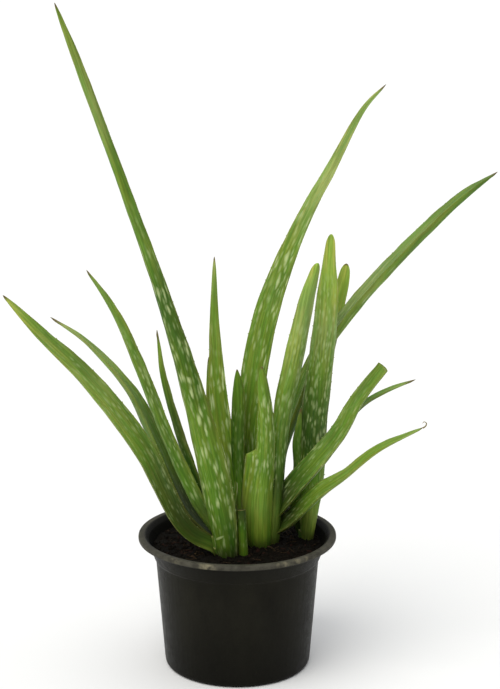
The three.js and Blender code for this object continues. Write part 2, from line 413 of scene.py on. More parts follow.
def circle(count: int) -> np.ndarray:
    """Angles at even steps around a circle, from 0, in radians."""
    return np.linspace(0, 2 * math.pi, count, endpoint=False)


def bands(rings: int, sides: int, first: int = 0, flipped: bool = False) -> list[tuple[int, ...]]:
    """Faces between rings that follow each other.

    Args:
        rings: how many rings there are.
        sides: how many points a ring has.
        first: the number of the first ring's first point.
        flipped: True turns the faces over.

    Returns:
        The faces.
    """
    faces = []
    for low in range(first, first + (rings - 1) * sides, sides):
        high = low + sides
        for j in range(sides):
            k = (j + 1) % sides
            faces.append((low + j, high + j, high + k, low + k) if flipped
                         else (low + j, low + k, high + k, high + j))
    return faces


def fan(middle: int, first: int, sides: int, flipped: bool = False) -> list[tuple[int, ...]]:
    """Faces from the point numbered middle to each side of the ring that begins at first."""
    pairs = [(first + j, first + (j + 1) % sides) for j in range(sides)]
    return [(middle, *(reversed(pair) if flipped else pair)) for pair in pairs]


def turned(rings: int, sides: int, flipped: bool = False) -> list[tuple[int, ...]]:
    """Faces of a closed form that is a middle point, its rings and another middle point."""
    last = 1 + (rings - 1) * sides
    return [*fan(0, 1, sides, not flipped), *bands(rings, sides, 1, flipped),
            *fan(last + sides, last, sides, flipped)]


def tube(rings: int, sides: int) -> list[tuple[int, ...]]:
    """Faces of a tube of rings with a flat cap on each end."""
    last = (rings - 1) * sides
    return [*bands(rings, sides), tuple(reversed(range(sides))), tuple(range(last, last + sides))]


def strand(path: np.ndarray, radii: Sequence[float], sides: int,
           level: Sequence[float]) -> list[np.ndarray]:
    """Rings of points around a thin path.

    Args:
        path: the path's points, one a row.
        radii: the radius at each of them.
        sides: how many points a ring has.
        level: a direction that the path never takes.

    Returns:
        The points, ring by ring.
    """
    tangent = unit(np.gradient(path, axis=0))
    first = unit(np.cross(tangent, level))
    second = np.cross(tangent, first)
    return [centre + radius * (math.cos(a) * u + math.sin(a) * v)
            for centre, radius, u, v in zip(path, radii, first, second) for a in circle(sides)]


def place_object(name: str, data: bpy.types.ID) -> bpy.types.Object:
    """Put an object in the scene.

    Args:
        name: its name.
        data: its mesh, lamp or camera.

    Returns:
        The object.
    """
    thing = bpy.data.objects.new(name, data)
    bpy.context.scene.collection.objects.link(thing)
    return thing


def face_along(thing: bpy.types.Object, way: Vector) -> None:
    """Turn a lamp or a camera to look along a direction."""
    thing.rotation_euler = way.to_track_quat("-Z", "Y").to_euler()


def show(name: str, mesh: bpy.types.Mesh, material: bpy.types.Material,
         nodes: Sequence[str]) -> bpy.types.Object:
    """Put a piece in the scene.

    Args:
        name: the piece's name.
        mesh: its mesh.
        material: its material.
        nodes: the nodes that it stands for.

    Returns:
        The piece.
    """
    mesh.materials.append(material)
    piece = place_object(name, mesh)
    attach(piece, BODY)
    if nodes:
        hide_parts(*nodes)
    LOG.info("%s: %d points", name, len(mesh.vertices))
    return piece


def through(stations: np.ndarray, places: np.ndarray) -> np.ndarray:
    """Points of the smooth curve through some stations.

    Args:
        stations: the stations, one a row.
        places: places from 0, at the first station, to 1, at the last.

    Returns:
        The curve's points, one a row.
    """
    before = 2 * stations[0] - stations[1]
    after = 2 * stations[-1] - stations[-2]
    padded = np.vstack([before, stations, after])
    spans = len(stations) - 1
    scaled = np.clip(places, 0, 1) * spans
    first = np.minimum(scaled.astype(int), spans - 1)
    t = (scaled - first)[:, None]
    p0, p1, p2, p3 = (padded[first + step] for step in range(4))
    return 0.5 * (2 * p1 + (p2 - p0) * t + (2 * p0 - 5 * p1 + 4 * p2 - p3) * t ** 2
                  + (3 * p1 - p0 - 3 * p2 + p3) * t ** 3)


def unit(vectors: np.ndarray) -> np.ndarray:
    """Vectors of length 1, one a row, from any vectors."""
    return vectors / np.maximum(np.linalg.norm(vectors, axis=-1, keepdims=True), 1e-9)


def drift(places: np.ndarray, wave: float, rng: np.random.Generator) -> np.ndarray:
    """A slow random wander between about -1 and 1.

    Args:
        places: where it is read, in millimetres.
        wave: the length of one wander, in millimetres.
        rng: the source of randomness.

    Returns:
        The wander at each place.
    """
    shares = (1.0, 0.6, 0.35)
    total = np.zeros_like(places)
    for share in shares:
        turn = rng.uniform(0, 2 * math.pi)
        total += share * np.sin(2 * math.pi * places / (wave * share) + turn)
    return total / sum(shares)


@dataclass(frozen=True)
class Spots:
    """Pale spots that stand in lengthwise rows on a leaf.

    Attributes:
        strength: how pale they are, from 0 to 1.
        cover: the share of the places that hold a spot.
        across: the distance from row to row.
        along: the distance from spot to spot in a row.
        start: the share of the leaf's length at which they begin.
        end: the share at which they end.
        flecks: how strong the soft smears between them are.
    """

    strength: float = 0.5
    cover: float = 0.5
    across: float = 2.8
    along: float = 9.0
    start: float = 0.05
    end: float = 0.8
    flecks: float = 0.3


@dataclass(frozen=True)
class LeafFinish:
    """A fleshy leaf's skin: waxy, streaked and spotted.

    Attributes:
        slot: the record's material slot. Not used.
        tones: colours along the leaf, with the share of the length at which each is full. The
            darker stops near the base and in sheltered stretches are partly painted shade.
        spots: its pale spots.
        bloom: how much grey wax lies on it.
        upper_wax_and_sheen: how much more wax lies on the hollowed side; it is partly painted
            sheen, lighter where the light falls on that side.
        dry_tip: the length of the dry brown tip, 0 for none.
        dry_cut: how straw-coloured a cut end is, from 0 to 1.
        scars: pale marks, as millimetres across and along the leaf, half width, half length
            and slope.
        lean: how much lighter one margin is than the middle, negative for the other margin, while
            the opposite margin is as much darker. This is painted light and shade, as from a
            light on one side.

    The constants from PATCHES to FOOT_SHADE_PATCHES say how many lumps of each pattern go to a
    millimetre across and along the leaf, and how much it changes from side to side. The last of
    them breaks up the painted shade at the leaf's foot.
    """

    PATCHES = (0.09, 0.035, 0.3)
    STRIPES = (0.42, 0.03, 0.5)
    STREAKS = (1.1, 0.045, 0.5)
    SKIN = (1.6, 0.9, 1.0)
    WAX = (0.3, 0.05, 0.6)
    SPOT_BEND = (0.25, 0.12, 1.0)
    SPOT_ZONES = (0.05, 0.075, 0.4)
    SPECKS = (0.09, 0.05, 0.4)
    FOOT_SHADE_PATCHES = (0.5, 0.25, 0.5)
    FULL_CHANCE = 1.3
    TONE_WANDER = 0.16
    PATCH_TINT = (0.62, 0.7, 0.5)
    STRIPE_TINTS = ((0.91, 1.04, 0.96), (1.22, 1.08, 1.2))
    STREAK_TINTS = ((1.18, 1.15, 1.24), (0.76, 0.8, 0.68))
    SIDE_LIGHT_SHARES = (1.0, 0.8, 1.0)
    MARGIN_SHADE = 0.28
    SPECK_SHADE = 0.7
    TOOTH_SHADE = 0.65
    ROUGHNESS = (0.36, 0.52)
    RELIEF = 0.00035

    slot: str
    tones: tuple[tuple[float, Tone], ...]
    spots: Spots = Spots()
    bloom: float = 0.12
    upper_wax_and_sheen: float = 0.0
    dry_tip: float = 3.0
    dry_cut: float = 0.8
    scars: tuple[tuple[float, float, float, float, float], ...] = ()
    lean: float = 0.0

    def material(self, name: str) -> bpy.types.Material:
        """The leaf's material.

        Args:
            name: the material's name.

        Returns:
            The material.
        """
        recipe = Recipe(name)
        place = recipe.attribute("place")
        across, along, from_tip = recipe.parts(recipe.attribute("share"))
        side = recipe.parts(place)[2]
        patches = recipe.grain(place, self.PATCHES, 3.0)
        stripes = recipe.grain(place, self.STRIPES)
        streaks = recipe.grain(place, self.STREAKS, 3.0, 0.6)

        wander = recipe.maths("MULTIPLY_ADD", patches, self.TONE_WANDER)
        wander.node.inputs[2].default_value = -0.5 * self.TONE_WANDER
        colour = recipe.ramp(recipe.maths("ADD", along, wander),
                             [(share, tone.value) for share, tone in self.tones])
        colour = recipe.tint(colour, recipe.blend(recipe.ease(stripes, 0.4, 0.6),
                                                  *self.STRIPE_TINTS))
        colour = recipe.tint(colour, self.PATCH_TINT, recipe.ease(patches, 0.45, 0.72, 0.0, 0.3))
        colour = recipe.tint(colour, recipe.blend(recipe.ease(streaks, 0.38, 0.62),
                                                  *self.STREAK_TINTS))
        # Painted light and shade: one margin lighter and the other darker, as from a light on one
        # side.
        margins = [tuple(1 + sign * share * self.lean for share in self.SIDE_LIGHT_SHARES)
                   for sign in (-1, 1)]
        colour = recipe.tint(colour, recipe.blend(recipe.ease(across, -1.0, 1.0), *margins))
        colour = recipe.blend(self._spots(recipe, place, along), colour, Tone.CREAM.value)
        colour = recipe.blend(self._wax_and_sheen(recipe, place, along, side), colour, Tone.MIST.value)
        margin = recipe.ease(recipe.maths("ABSOLUTE", across), 0.86, 1.0, 0.0,
                             self.MARGIN_SHADE)
        colour = recipe.blend(margin, colour, Tone.OLIVE.value)
        colour = self._wear(recipe, colour, place, from_tip)

        rough = recipe.ease(streaks, 0.2, 0.8, *self.ROUGHNESS)
        skin = recipe.grain(place, self.SKIN, 3.0, 0.6)
        height = recipe.maths("ADD", recipe.times(streaks, 0.7), recipe.times(skin, 0.3))
        return recipe.finish(colour, rough, recipe.relief(height, self.RELIEF),
                             Specular_IOR_Level=0.1, Subsurface_Weight=0.08,
                             Subsurface_Scale=0.002)

    def _wax_and_sheen(self, recipe: Recipe, place: Socket, along: Socket, side: Socket) -> Socket:
        """How much grey wax lies at each point, with painted sheen on the hollowed side.

        Args:
            recipe: the material in the making.
            place: millimetres across and along the leaf, and its side.
            along: the share of the length.
            side: which side the point is on, above 0 on the hollowed one.

        Returns:
            The wax with the painted sheen, from 0 to 1.
        """
        everywhere = recipe.times(
            recipe.ease(recipe.grain(place, self.WAX, 4.0), 0.3, 0.75, 0.3 * self.bloom,
                        self.bloom),
            recipe.ease(along, 0.15, 0.6, 0.2, 1.0))
        # Painted sheen on the hollowed side, added to its wax.
        hollowed = recipe.times(recipe.ease(side, -0.2, 0.3, 0.0, self.upper_wax_and_sheen),
                                recipe.ease(along, 0.3, 0.55),
                                recipe.ease(along, 0.55, 0.9, 1.0, 0.4))
        return recipe.maths("ADD", everywhere, hollowed, clamp=True)

    def _spots(self, recipe: Recipe, place: Socket, along: Socket) -> Socket:
        """How pale each point is made by spots and smears.

        Args:
            recipe: the material in the making.
            place: millimetres across and along the leaf, and its side.
            along: the share of the length.

        Returns:
            The paleness, from 0 to 1.
        """
        spots = self.spots
        bend = recipe.grain(place, self.SPOT_BEND)
        shift = recipe.tree.nodes.new("ShaderNodeCombineXYZ")
        recipe.plug(shift.inputs[0], recipe.times(bend, 1.3))
        recipe.plug(shift.inputs[1], recipe.times(bend, 0.9))
        moved = recipe.tree.nodes.new("ShaderNodeVectorMath")
        recipe.plug(moved.inputs[0],
                    recipe.scaled(place, (1 / spots.across, 1 / spots.along, 3.0)))
        recipe.plug(moved.inputs[1], shift.outputs[0])
        distance, number = recipe.cells(moved.outputs[0], 0.75)
        zones = recipe.grain(place, self.SPOT_ZONES, 1.0)
        chance = recipe.maths("ADD", number, recipe.times(zones, 0.6))
        gate = self.FULL_CHANCE - spots.cover
        held = recipe.ease(chance, gate - 0.12, gate + 0.2)
        large = recipe.times(recipe.ease(distance, 0.08, 0.52, 1.0, 0.0), held, spots.strength)

        fine = recipe.scaled(place, (1.5 / spots.across, 1.8 / spots.along, 5.0))
        distance, number = recipe.cells(fine)
        small = recipe.times(recipe.ease(distance, 0.04, 0.6, 1.0, 0.0),
                             recipe.ease(number, 0.3, 0.9), spots.flecks)
        return recipe.times(recipe.maths("MAXIMUM", large, small),
                            recipe.ease(along, spots.start - 0.04, spots.start + 0.06),
                            recipe.ease(along, spots.end - 0.2, spots.end + 0.08, 1.0, 0.0))

    def _wear(self, recipe: Recipe, colour: Socket, place: Socket, from_tip: Socket) -> Socket:
        """The colour with its specks, painted shade at the foot where it meets the soil, dry tip,
        teeth, scars and cut ends.

        Args:
            recipe: the material in the making.
            colour: the sound leaf's colour.
            place: millimetres across and along the leaf, and its side.
            from_tip: millimetres left to the tip.

        Returns:
            The worn colour.
        """
        distance, number = recipe.cells(recipe.scaled(place, self.SPECKS))
        speck = recipe.times(recipe.ease(distance, 0.02, 0.07, 1.0, 0.0),
                             recipe.ease(number, 0.72, 0.76), self.SPECK_SHADE)
        colour = recipe.blend(speck, colour, Tone.BARK.value)
        # Painted shade: the leaf darkens over its lowest few millimetres, where it goes into the
        # soil, broken up by soft patches.
        foot_shade_patches = recipe.grain(place, self.FOOT_SHADE_PATCHES, 3.0)
        foot = recipe.ease(recipe.parts(place)[1], -3.0, 6.0, 0.8, 0.0)
        colour = recipe.blend(recipe.times(foot, recipe.ease(foot_shade_patches, 0.3, 0.6, 0.5)), colour,
                              Tone.SOIL_LINE_SHADE.value)
        if self.dry_tip:
            dry = recipe.ease(from_tip, 0.35 * self.dry_tip, 1.4 * self.dry_tip + 0.6, 0.9, 0.0)
            colour = recipe.blend(dry, colour, Tone.BARK.value)
        tooth = recipe.times(recipe.attribute("tooth", "Fac"), self.TOOTH_SHADE)
        colour = recipe.blend(tooth, colour, Tone.CREAM.value)
        for scar in self.scars:
            colour = recipe.blend(self._scar(recipe, place, *scar), colour, Tone.CREAM.value)
        dried = recipe.times(recipe.attribute("dried", "Fac"), self.dry_cut)
        return recipe.blend(dried, colour, Tone.STRAW.value)

    def _scar(self, recipe: Recipe, place: Socket, across: float, along: float,
              half_width: float, half_length: float, slope: float) -> Socket:
        """Where one pale scar lies.

        Args:
            recipe: the material in the making.
            place: millimetres across and along the leaf, and its side.
            across: the scar's middle across the leaf.
            along: the scar's middle along the leaf.
            half_width: half its width.
            half_length: half its length.
            slope: how far it moves along for each millimetre across.

        Returns:
            The share of it, from 0 to 1.
        """
        x, y, side = recipe.parts(place)
        sideways = recipe.maths("SUBTRACT", x, across)
        ahead = recipe.maths("SUBTRACT", recipe.maths("SUBTRACT", y, along),
                             recipe.times(sideways, slope))
        wide, long = (recipe.maths("POWER", recipe.maths("DIVIDE", offset, half), 2.0)
                      for offset, half in ((sideways, half_width), (ahead, half_length)))
        inside = recipe.ease(recipe.maths("ADD", wide, long), 0.0, 1.6, 0.5, 0.0)
        return recipe.times(inside, recipe.ease(side, -0.25, 0.0, 1.0, 0.0))


@dataclass(frozen=True)
class Leaf:
    """A long fleshy leaf, hollowed above and rounded below, with small teeth on its margins.

    Attributes:
        name: the node that it stands for.
        stations: x, y, z and width on the midrib, from the base to the tip.
        face: the way that the hollowed side looks.
        thick: the thickness as a share of the width.
        channel: the hollow's depth as a share of the width.
        tip: the length over which the end rounds off.
        stem: where its crown stands, x and y.
        finish: its skin.
        seed: what its small irregularities start from.
        end: how it ends.
        curl: points of a dry thread at its tip.
        flap: how far a sheath widens one margin, and up to which height above the base.
    """

    SHARP = math.radians(50)
    SIDES = 32
    RING_PITCH = 1.7
    TIP_RINGS = 14
    SAMPLES = 1200
    TANGENT_REACH = 0.4
    LOWER_SHARE = 0.8
    THINNEST = 1.2
    FULL_WIDTH = 6.0
    ROOT_DROP = 8.0
    ROOT_LEAN = 0.45
    ROOT_WIDTH = 0.9
    THICKNESS_WAVE = 38.0
    WIDTH_WAVE = 30.0
    EDGE_WAVES = (23.0, 27.0)
    EDGE_WAVE_HEIGHT = 0.22
    SWAY_WAVE = 60.0
    SWAY = 0.12
    RIBS = 9
    RIB_DEPTH = 0.05
    FLAP_FALL = 4.0
    CUT_RIM = 0.8
    CUT_EDGE_DEPTH = 0.5
    CUT_DEPTH = 0.8
    TOOTH_SIDES = 6
    TOOTH_START = 10.0
    TOOTH_END = 0.93
    TOOTH_GAP = 7.0
    TOOTH_SINK = 0.25
    TOOTH_HEIGHT = 0.04
    TOOTH_HEIGHTS = (0.2, 0.5)
    TOOTH_SPREAD = (0.6, 1.15)
    TOOTH_LENGTH = 1.1
    TOOTH_WIDTH = 0.42
    TOOTH_HOOK = 0.55
    TOOTH_FOOT_SHADE = 0.2
    THREAD_DRYNESS = 0.35
    THREAD_RINGS = 16
    THREAD_SIDES = 6
    THREAD_RADII = (0.5, 0.16)

    name: str
    stations: tuple[Station, ...]
    face: tuple[float, float, float]
    thick: float
    channel: float
    tip: float
    stem: tuple[float, float]
    finish: LeafFinish
    seed: int
    end: LeafEnd = LeafEnd.POINTED
    curl: tuple[tuple[float, float, float], ...] = ()
    flap: tuple[float, float] = (0.0, 1.0)

    def build(self) -> bpy.types.Object:
        """Make the leaf.

        Returns:
            The piece.
        """
        surface = Surface()
        rings = self._rings()
        self._skin(surface, rings)
        self._teeth(surface, rings)
        if self.curl:
            self._thread(surface)
        mesh = surface.mesh(self.name, self.SHARP)
        return show("blade_" + self.name.removeprefix("leaf_"), mesh,
                    self.finish.material(self.name), [self.name])

    def _rings(self) -> dict[str, np.ndarray]:
        """The sections' places along the midrib.

        Returns:
            For each section its centre, the ways across and up, its width, and how far it lies
            along the leaf and from the tip.
        """
        x, y, z, width = self.stations[0]
        root = (x + (self.stem[0] - x) * self.ROOT_LEAN, y + (self.stem[1] - y) * self.ROOT_LEAN,
                z - self.ROOT_DROP, self.ROOT_WIDTH * width)
        stations = np.array([root, *self.stations])
        fine = through(stations, np.linspace(0, 1, self.SAMPLES))
        steps = np.linalg.norm(np.diff(fine[:, :3], axis=0), axis=1)
        lengths = np.concatenate([[0], np.cumsum(steps)])

        def rows_at(where: np.ndarray) -> np.ndarray:
            """The curve's x, y, z and width at some lengths."""
            return np.stack([np.interp(where, lengths, column) for column in fine.T], axis=1)

        length = lengths[-1]
        count = math.ceil((length - self.tip) / self.RING_PITCH)
        body = np.linspace(0, length - self.tip, count, endpoint=False)
        turns = np.linspace(0, math.pi / 2, self.TIP_RINGS, endpoint=False)
        places = np.concatenate([body, length - self.tip + self.tip * np.sin(turns)])
        if self.end is LeafEnd.CUT:
            places = np.append(body, length)
        rows = rows_at(places)
        tangent = unit((rows_at(places + self.TANGENT_REACH)
                        - rows_at(places - self.TANGENT_REACH))[:, :3])
        face = np.array(self.face)
        up = unit(face - (tangent @ face)[:, None] * tangent)
        widths = rows[:, 3]
        if self.end is LeafEnd.POINTED:
            left = np.minimum(1, (length - places) / self.tip)
            widths = widths * np.sqrt(1 - (1 - left) ** 2)
        root_length = np.linalg.norm(stations[1, :3] - stations[0, :3])
        along = places - root_length
        return {"centre": rows[:, :3], "side": np.cross(up, tangent), "up": up,
                "tangent": tangent, "width": widths, "along": along,
                "from_tip": length - places, "share": along / (length - root_length)}

    def _skin(self, surface: Surface, rings: dict[str, np.ndarray]) -> None:
        """The leaf's own surface.

        Args:
            surface: what it is added to.
            rings: the sections.
        """
        rng = np.random.default_rng(self.seed)
        angles = circle(self.SIDES)
        cos, sin = np.cos(angles), np.sin(angles)
        along = rings["along"][:, None]
        width = rings["width"][:, None]
        sturdy = np.clip(width / self.FULL_WIDTH, 0, 1)
        thickness = np.maximum(self.thick * width, np.minimum(self.THINNEST, 0.8 * width))
        thickness = thickness * (1 + 0.05 * drift(along, self.THICKNESS_WAVE, rng))
        half = 0.5 * width * (1 + 0.015 * drift(along, self.WIDTH_WAVE, rng))
        reach, top = self.flap
        fall = np.clip((along - top) / self.FLAP_FALL, 0, 1)
        fall = fall * fall * (3 - 2 * fall)
        half = half + np.where(cos < 0, reach * np.clip(along / top, 0, 1) * (1 - fall), 0.0)
        rise = np.where(sin > 0, 1 - self.LOWER_SHARE, self.LOWER_SHARE) * thickness * sin
        rise = rise + self.channel * width * cos ** 2
        waves = [drift(along, wave, rng) for wave in self.EDGE_WAVES]
        rise = rise + self.EDGE_WAVE_HEIGHT * sturdy * np.where(cos > 0, *waves) * cos ** 4
        ribs = np.where(sin < 0, np.cos(self.RIBS * angles), 0.0) * sin ** 2
        rise = rise - self.RIB_DEPTH * sturdy * ribs
        across = half * cos + self.SWAY * sturdy * drift(along, self.SWAY_WAVE, rng)
        points = (rings["centre"][:, None] + across[..., None] * rings["side"][:, None]
                  + rise[..., None] * rings["up"][:, None]).reshape(-1, 3)
        tip = self._tip(points[-self.SIDES:], rings)

        def with_ends(*columns: np.ndarray) -> list[list[float]]:
            """Vectors of three columns for the skin's points, the base's middle and the tip."""
            table = np.stack(np.broadcast_arrays(*columns), -1).reshape(-1, 3)
            return np.vstack([table[:1], table, np.repeat(table[-1:], len(tip), axis=0)]).tolist()

        total = 1 + len(points) + len(tip)
        dried = np.zeros(total)
        if self.end is LeafEnd.CUT:
            dried[-len(tip):] = 1.0
        surface.add([points[:self.SIDES].mean(0), *points, *tip],
                    turned((total - 2) // self.SIDES, self.SIDES),
                    place=with_ends(half * cos, along, sin[None, :]),
                    share=with_ends(cos[None, :], rings["share"][:, None],
                                    rings["from_tip"][:, None]),
                    tooth=[0.0] * total, dried=dried.tolist())

    def _tip(self, last: np.ndarray, rings: dict[str, np.ndarray]) -> np.ndarray:
        """The points that close the tip.

        Args:
            last: the last section's points.
            rings: the sections.

        Returns:
            The leaf's point, or a sunk ring and its middle for a cut end.
        """
        tangent = rings["tangent"][-1]
        if self.end is LeafEnd.POINTED:
            return (rings["centre"][-1] + tangent * rings["from_tip"][-1])[None]
        middle = last.mean(0)
        ring = middle + self.CUT_RIM * (last - middle) - self.CUT_EDGE_DEPTH * tangent
        return np.vstack([ring, middle - self.CUT_DEPTH * tangent])

    def _teeth(self, surface: Surface, rings: dict[str, np.ndarray]) -> None:
        """Small pale teeth on both margins.

        Args:
            surface: what they are added to.
            rings: the sections.
        """
        rng = np.random.default_rng(self.seed + 500)
        sides = self.TOOTH_SIDES
        for sign in (1, -1):
            ring_order = range(sides) if sign > 0 else reversed(range(sides))
            faces = [*fan(sides, 0, sides, flipped=sign > 0), tuple(ring_order)]
            at = self.TOOTH_START + rng.uniform(0, self.TOOTH_GAP)
            while at < self.TOOTH_END * rings["along"][-1]:
                here = {key: np.array([np.interp(at, rings["along"], column)
                                       for column in np.atleast_2d(table.T)])
                        for key, table in rings.items()}
                width = float(here["width"][0])
                tall = float(np.clip(self.TOOTH_HEIGHT * width, *self.TOOTH_HEIGHTS))
                tall *= rng.uniform(*self.TOOTH_SPREAD)
                out = unit(sign * here["side"] + 2 * self.channel * here["up"])
                foot = (here["centre"] + sign * (0.5 * width - self.TOOTH_SINK) * here["side"]
                        + self.channel * width * here["up"])
                ring = [foot + self.TOOTH_LENGTH * tall * math.cos(a) * here["tangent"]
                        + self.TOOTH_WIDTH * tall * math.sin(a) * here["up"]
                        for a in circle(sides)]
                point = (foot + (tall + self.TOOTH_SINK) * out
                         + self.TOOTH_HOOK * tall * here["tangent"])
                place = [sign * 0.5 * width, at, 0.0]
                share = [float(sign), float(here["share"][0]), float(here["from_tip"][0])]
                total = sides + 1
                surface.add([*ring, point], faces, place=[place] * total,
                            share=[share] * total, dried=[0.0] * total,
                            tooth=[self.TOOTH_FOOT_SHADE] * sides + [1.0])
                at += self.TOOTH_GAP * rng.uniform(0.5, 1.5)

    def _thread(self, surface: Surface) -> None:
        """The dry thread at the tip.

        Args:
            surface: what it is added to.
        """
        path = through(np.array(self.curl), np.linspace(0, 1, self.THREAD_RINGS))
        radii = np.linspace(*self.THREAD_RADII, len(path))
        points = strand(path, radii, self.THREAD_SIDES, (0.0, 1.0, 0.0))
        total = len(points)
        surface.add(points, tube(len(path), self.THREAD_SIDES), place=[(0.0, 0.0, 0.0)] * total,
                    share=[(0.0, 1.0, 0.0)] * total, tooth=[0.0] * total,
                    dried=[self.THREAD_DRYNESS] * total)


@dataclass(frozen=True)
class CrownFinish:
    """The stem's skin: old leaf sheaths with pale edges."""

    # Painted shade: the crown grows darker downwards, darkest from Crown.SHADE_HEIGHT down.
    HEIGHTS = (0.0, 0.3, 0.6, 1.0)
    TONES = (Tone.SHADE, Tone.DEEP, Tone.FRESH, Tone.FRESH)
    STREAKS = (1.2, 0.12, 1.0)
    ROUGHNESS = (0.42, 0.6)
    RELIEF = 0.0005

    slot: str = "crown"

    def material(self, name: str) -> bpy.types.Material:
        """The crown's material.

        Args:
            name: the material's name.

        Returns:
            The material.
        """
        recipe = Recipe(name)
        edge, height, _ = recipe.parts(recipe.attribute("share"))
        streaks = recipe.grain(recipe.attribute("place"), self.STREAKS, 3.0)
        colour = recipe.ramp(height, [(share, tone.value)
                                      for share, tone in zip(self.HEIGHTS, self.TONES)])
        colour = recipe.blend(recipe.ease(streaks, 0.3, 0.7, 0.0, 0.4), colour,
                              Tone.DEEP.value)
        colour = recipe.blend(recipe.ease(edge, 0.78, 0.96, 0.0, 0.8), colour, Tone.STRAW.value)
        rough = recipe.ease(streaks, 0.2, 0.8, *self.ROUGHNESS)
        return recipe.finish(colour, rough, recipe.relief(streaks, self.RELIEF),
                             Specular_IOR_Level=0.4)


@dataclass(frozen=True)
class Crown:
    """A short stem, wrapped in the sheaths of its leaves.

    Attributes:
        name: the node that it stands for.
        x: where it stands, to the right.
        y: where it stands, away from the viewer.
        radius: its radius at the soil.
        foot: the height of its lower end.
        top: the height of its growing point.
        turn: the way that the sheaths' edges slope, in radians.
        finish: its skin.
    """

    SHARP = math.radians(55)
    SIDES = 48
    RINGS = 72
    SOIL_HEIGHT = 77.0
    SHADE_HEIGHT = 70.0
    SHEATH_PITCH = 6.5
    SHEATH_STEP = 0.7
    SHEATH_RINGS = 24
    SHEATH_TURN = 0.7
    SLANT = 3.2
    THINNEST = 0.4

    name: str
    x: float
    y: float
    radius: float
    foot: float
    top: float
    turn: float
    finish: CrownFinish = CrownFinish()

    def _radius_at(self, height: float) -> float:
        """The plain radius at a height."""
        waist = (self.top + self.SOIL_HEIGHT) / 2
        heights = (self.foot, self.foot + 0.6 * self.radius, self.SOIL_HEIGHT, waist,
                   self.top - 0.3 * self.radius, self.top)
        shares = (0.7, 1.0, 1.0, 0.85, 0.5, 0.22)
        return self.radius * float(np.interp(height, heights, shares))

    def build(self) -> bpy.types.Object:
        """Make the crown.

        Returns:
            The piece.
        """
        points, place, share = [], [], []
        for i in range(self.RINGS + 1):
            height = self.foot + (self.top - self.foot) * i / self.RINGS
            turn = self.turn * (1 + self.SHEATH_TURN * (i // self.SHEATH_RINGS))
            for angle in circle(self.SIDES):
                slanted = height + self.SLANT * math.cos(angle - turn)
                part = (slanted / self.SHEATH_PITCH) % 1.0
                radius = self._radius_at(height) + self.SHEATH_STEP * (part - 0.5)
                radius = max(self.THINNEST, radius)
                points.append((self.x + radius * math.cos(angle),
                               self.y + radius * math.sin(angle), height))
                place.append((radius * angle, height, 0.0))
                share.append((part, (height - self.SHADE_HEIGHT) / (self.top - self.SHADE_HEIGHT),
                              0.0))
        surface = Surface()
        surface.add(points, tube(self.RINGS + 1, self.SIDES), place=place, share=share)
        return show("stem_" + self.name.removeprefix("crown_"),
                    surface.mesh(self.name, self.SHARP), self.finish.material(self.name),
                    [self.name])


@dataclass(frozen=True)
class SoilFinish:
    """Dark damp potting mix with brown bits in it."""

    DAMP = ((0.3, srgb(12, 11, 7)), (0.55, srgb(20, 17, 11)), (0.75, srgb(34, 27, 19)))
    BITS = ((0.0, srgb(17, 15, 10)), (0.35, srgb(28, 22, 15)), (0.6, srgb(46, 27, 20)),
            (0.85, srgb(54, 40, 28)), (1.0, srgb(92, 77, 55)))
    GRAIN_TINT = (0.45, 0.4, 0.36)
    ROUGHNESS = (0.75, 0.98)
    RELIEF = 0.0012

    slot: str = "potting_soil"

    def material(self, name: str) -> bpy.types.Material:
        """The soil's material.

        Args:
            name: the material's name.

        Returns:
            The material.
        """
        recipe = Recipe(name)
        place = recipe.attribute("place")
        bit = recipe.attribute("bit", "Fac")
        clods = recipe.cloud(place, 0.35, 4.0, 0.65)
        grains = recipe.cloud(place, 2.2, 3.0, 0.7)
        colour = recipe.blend(recipe.ease(bit, 0.02, 0.1), recipe.ramp(clods, self.DAMP),
                              recipe.ramp(bit, self.BITS))
        colour = recipe.tint(colour, self.GRAIN_TINT, recipe.ease(grains, 0.35, 0.7, 0.0, 0.5))
        rough = recipe.ease(grains, 0.2, 0.8, *self.ROUGHNESS)
        return recipe.finish(colour, rough, recipe.relief(grains, self.RELIEF),
                             Specular_IOR_Level=0.08)


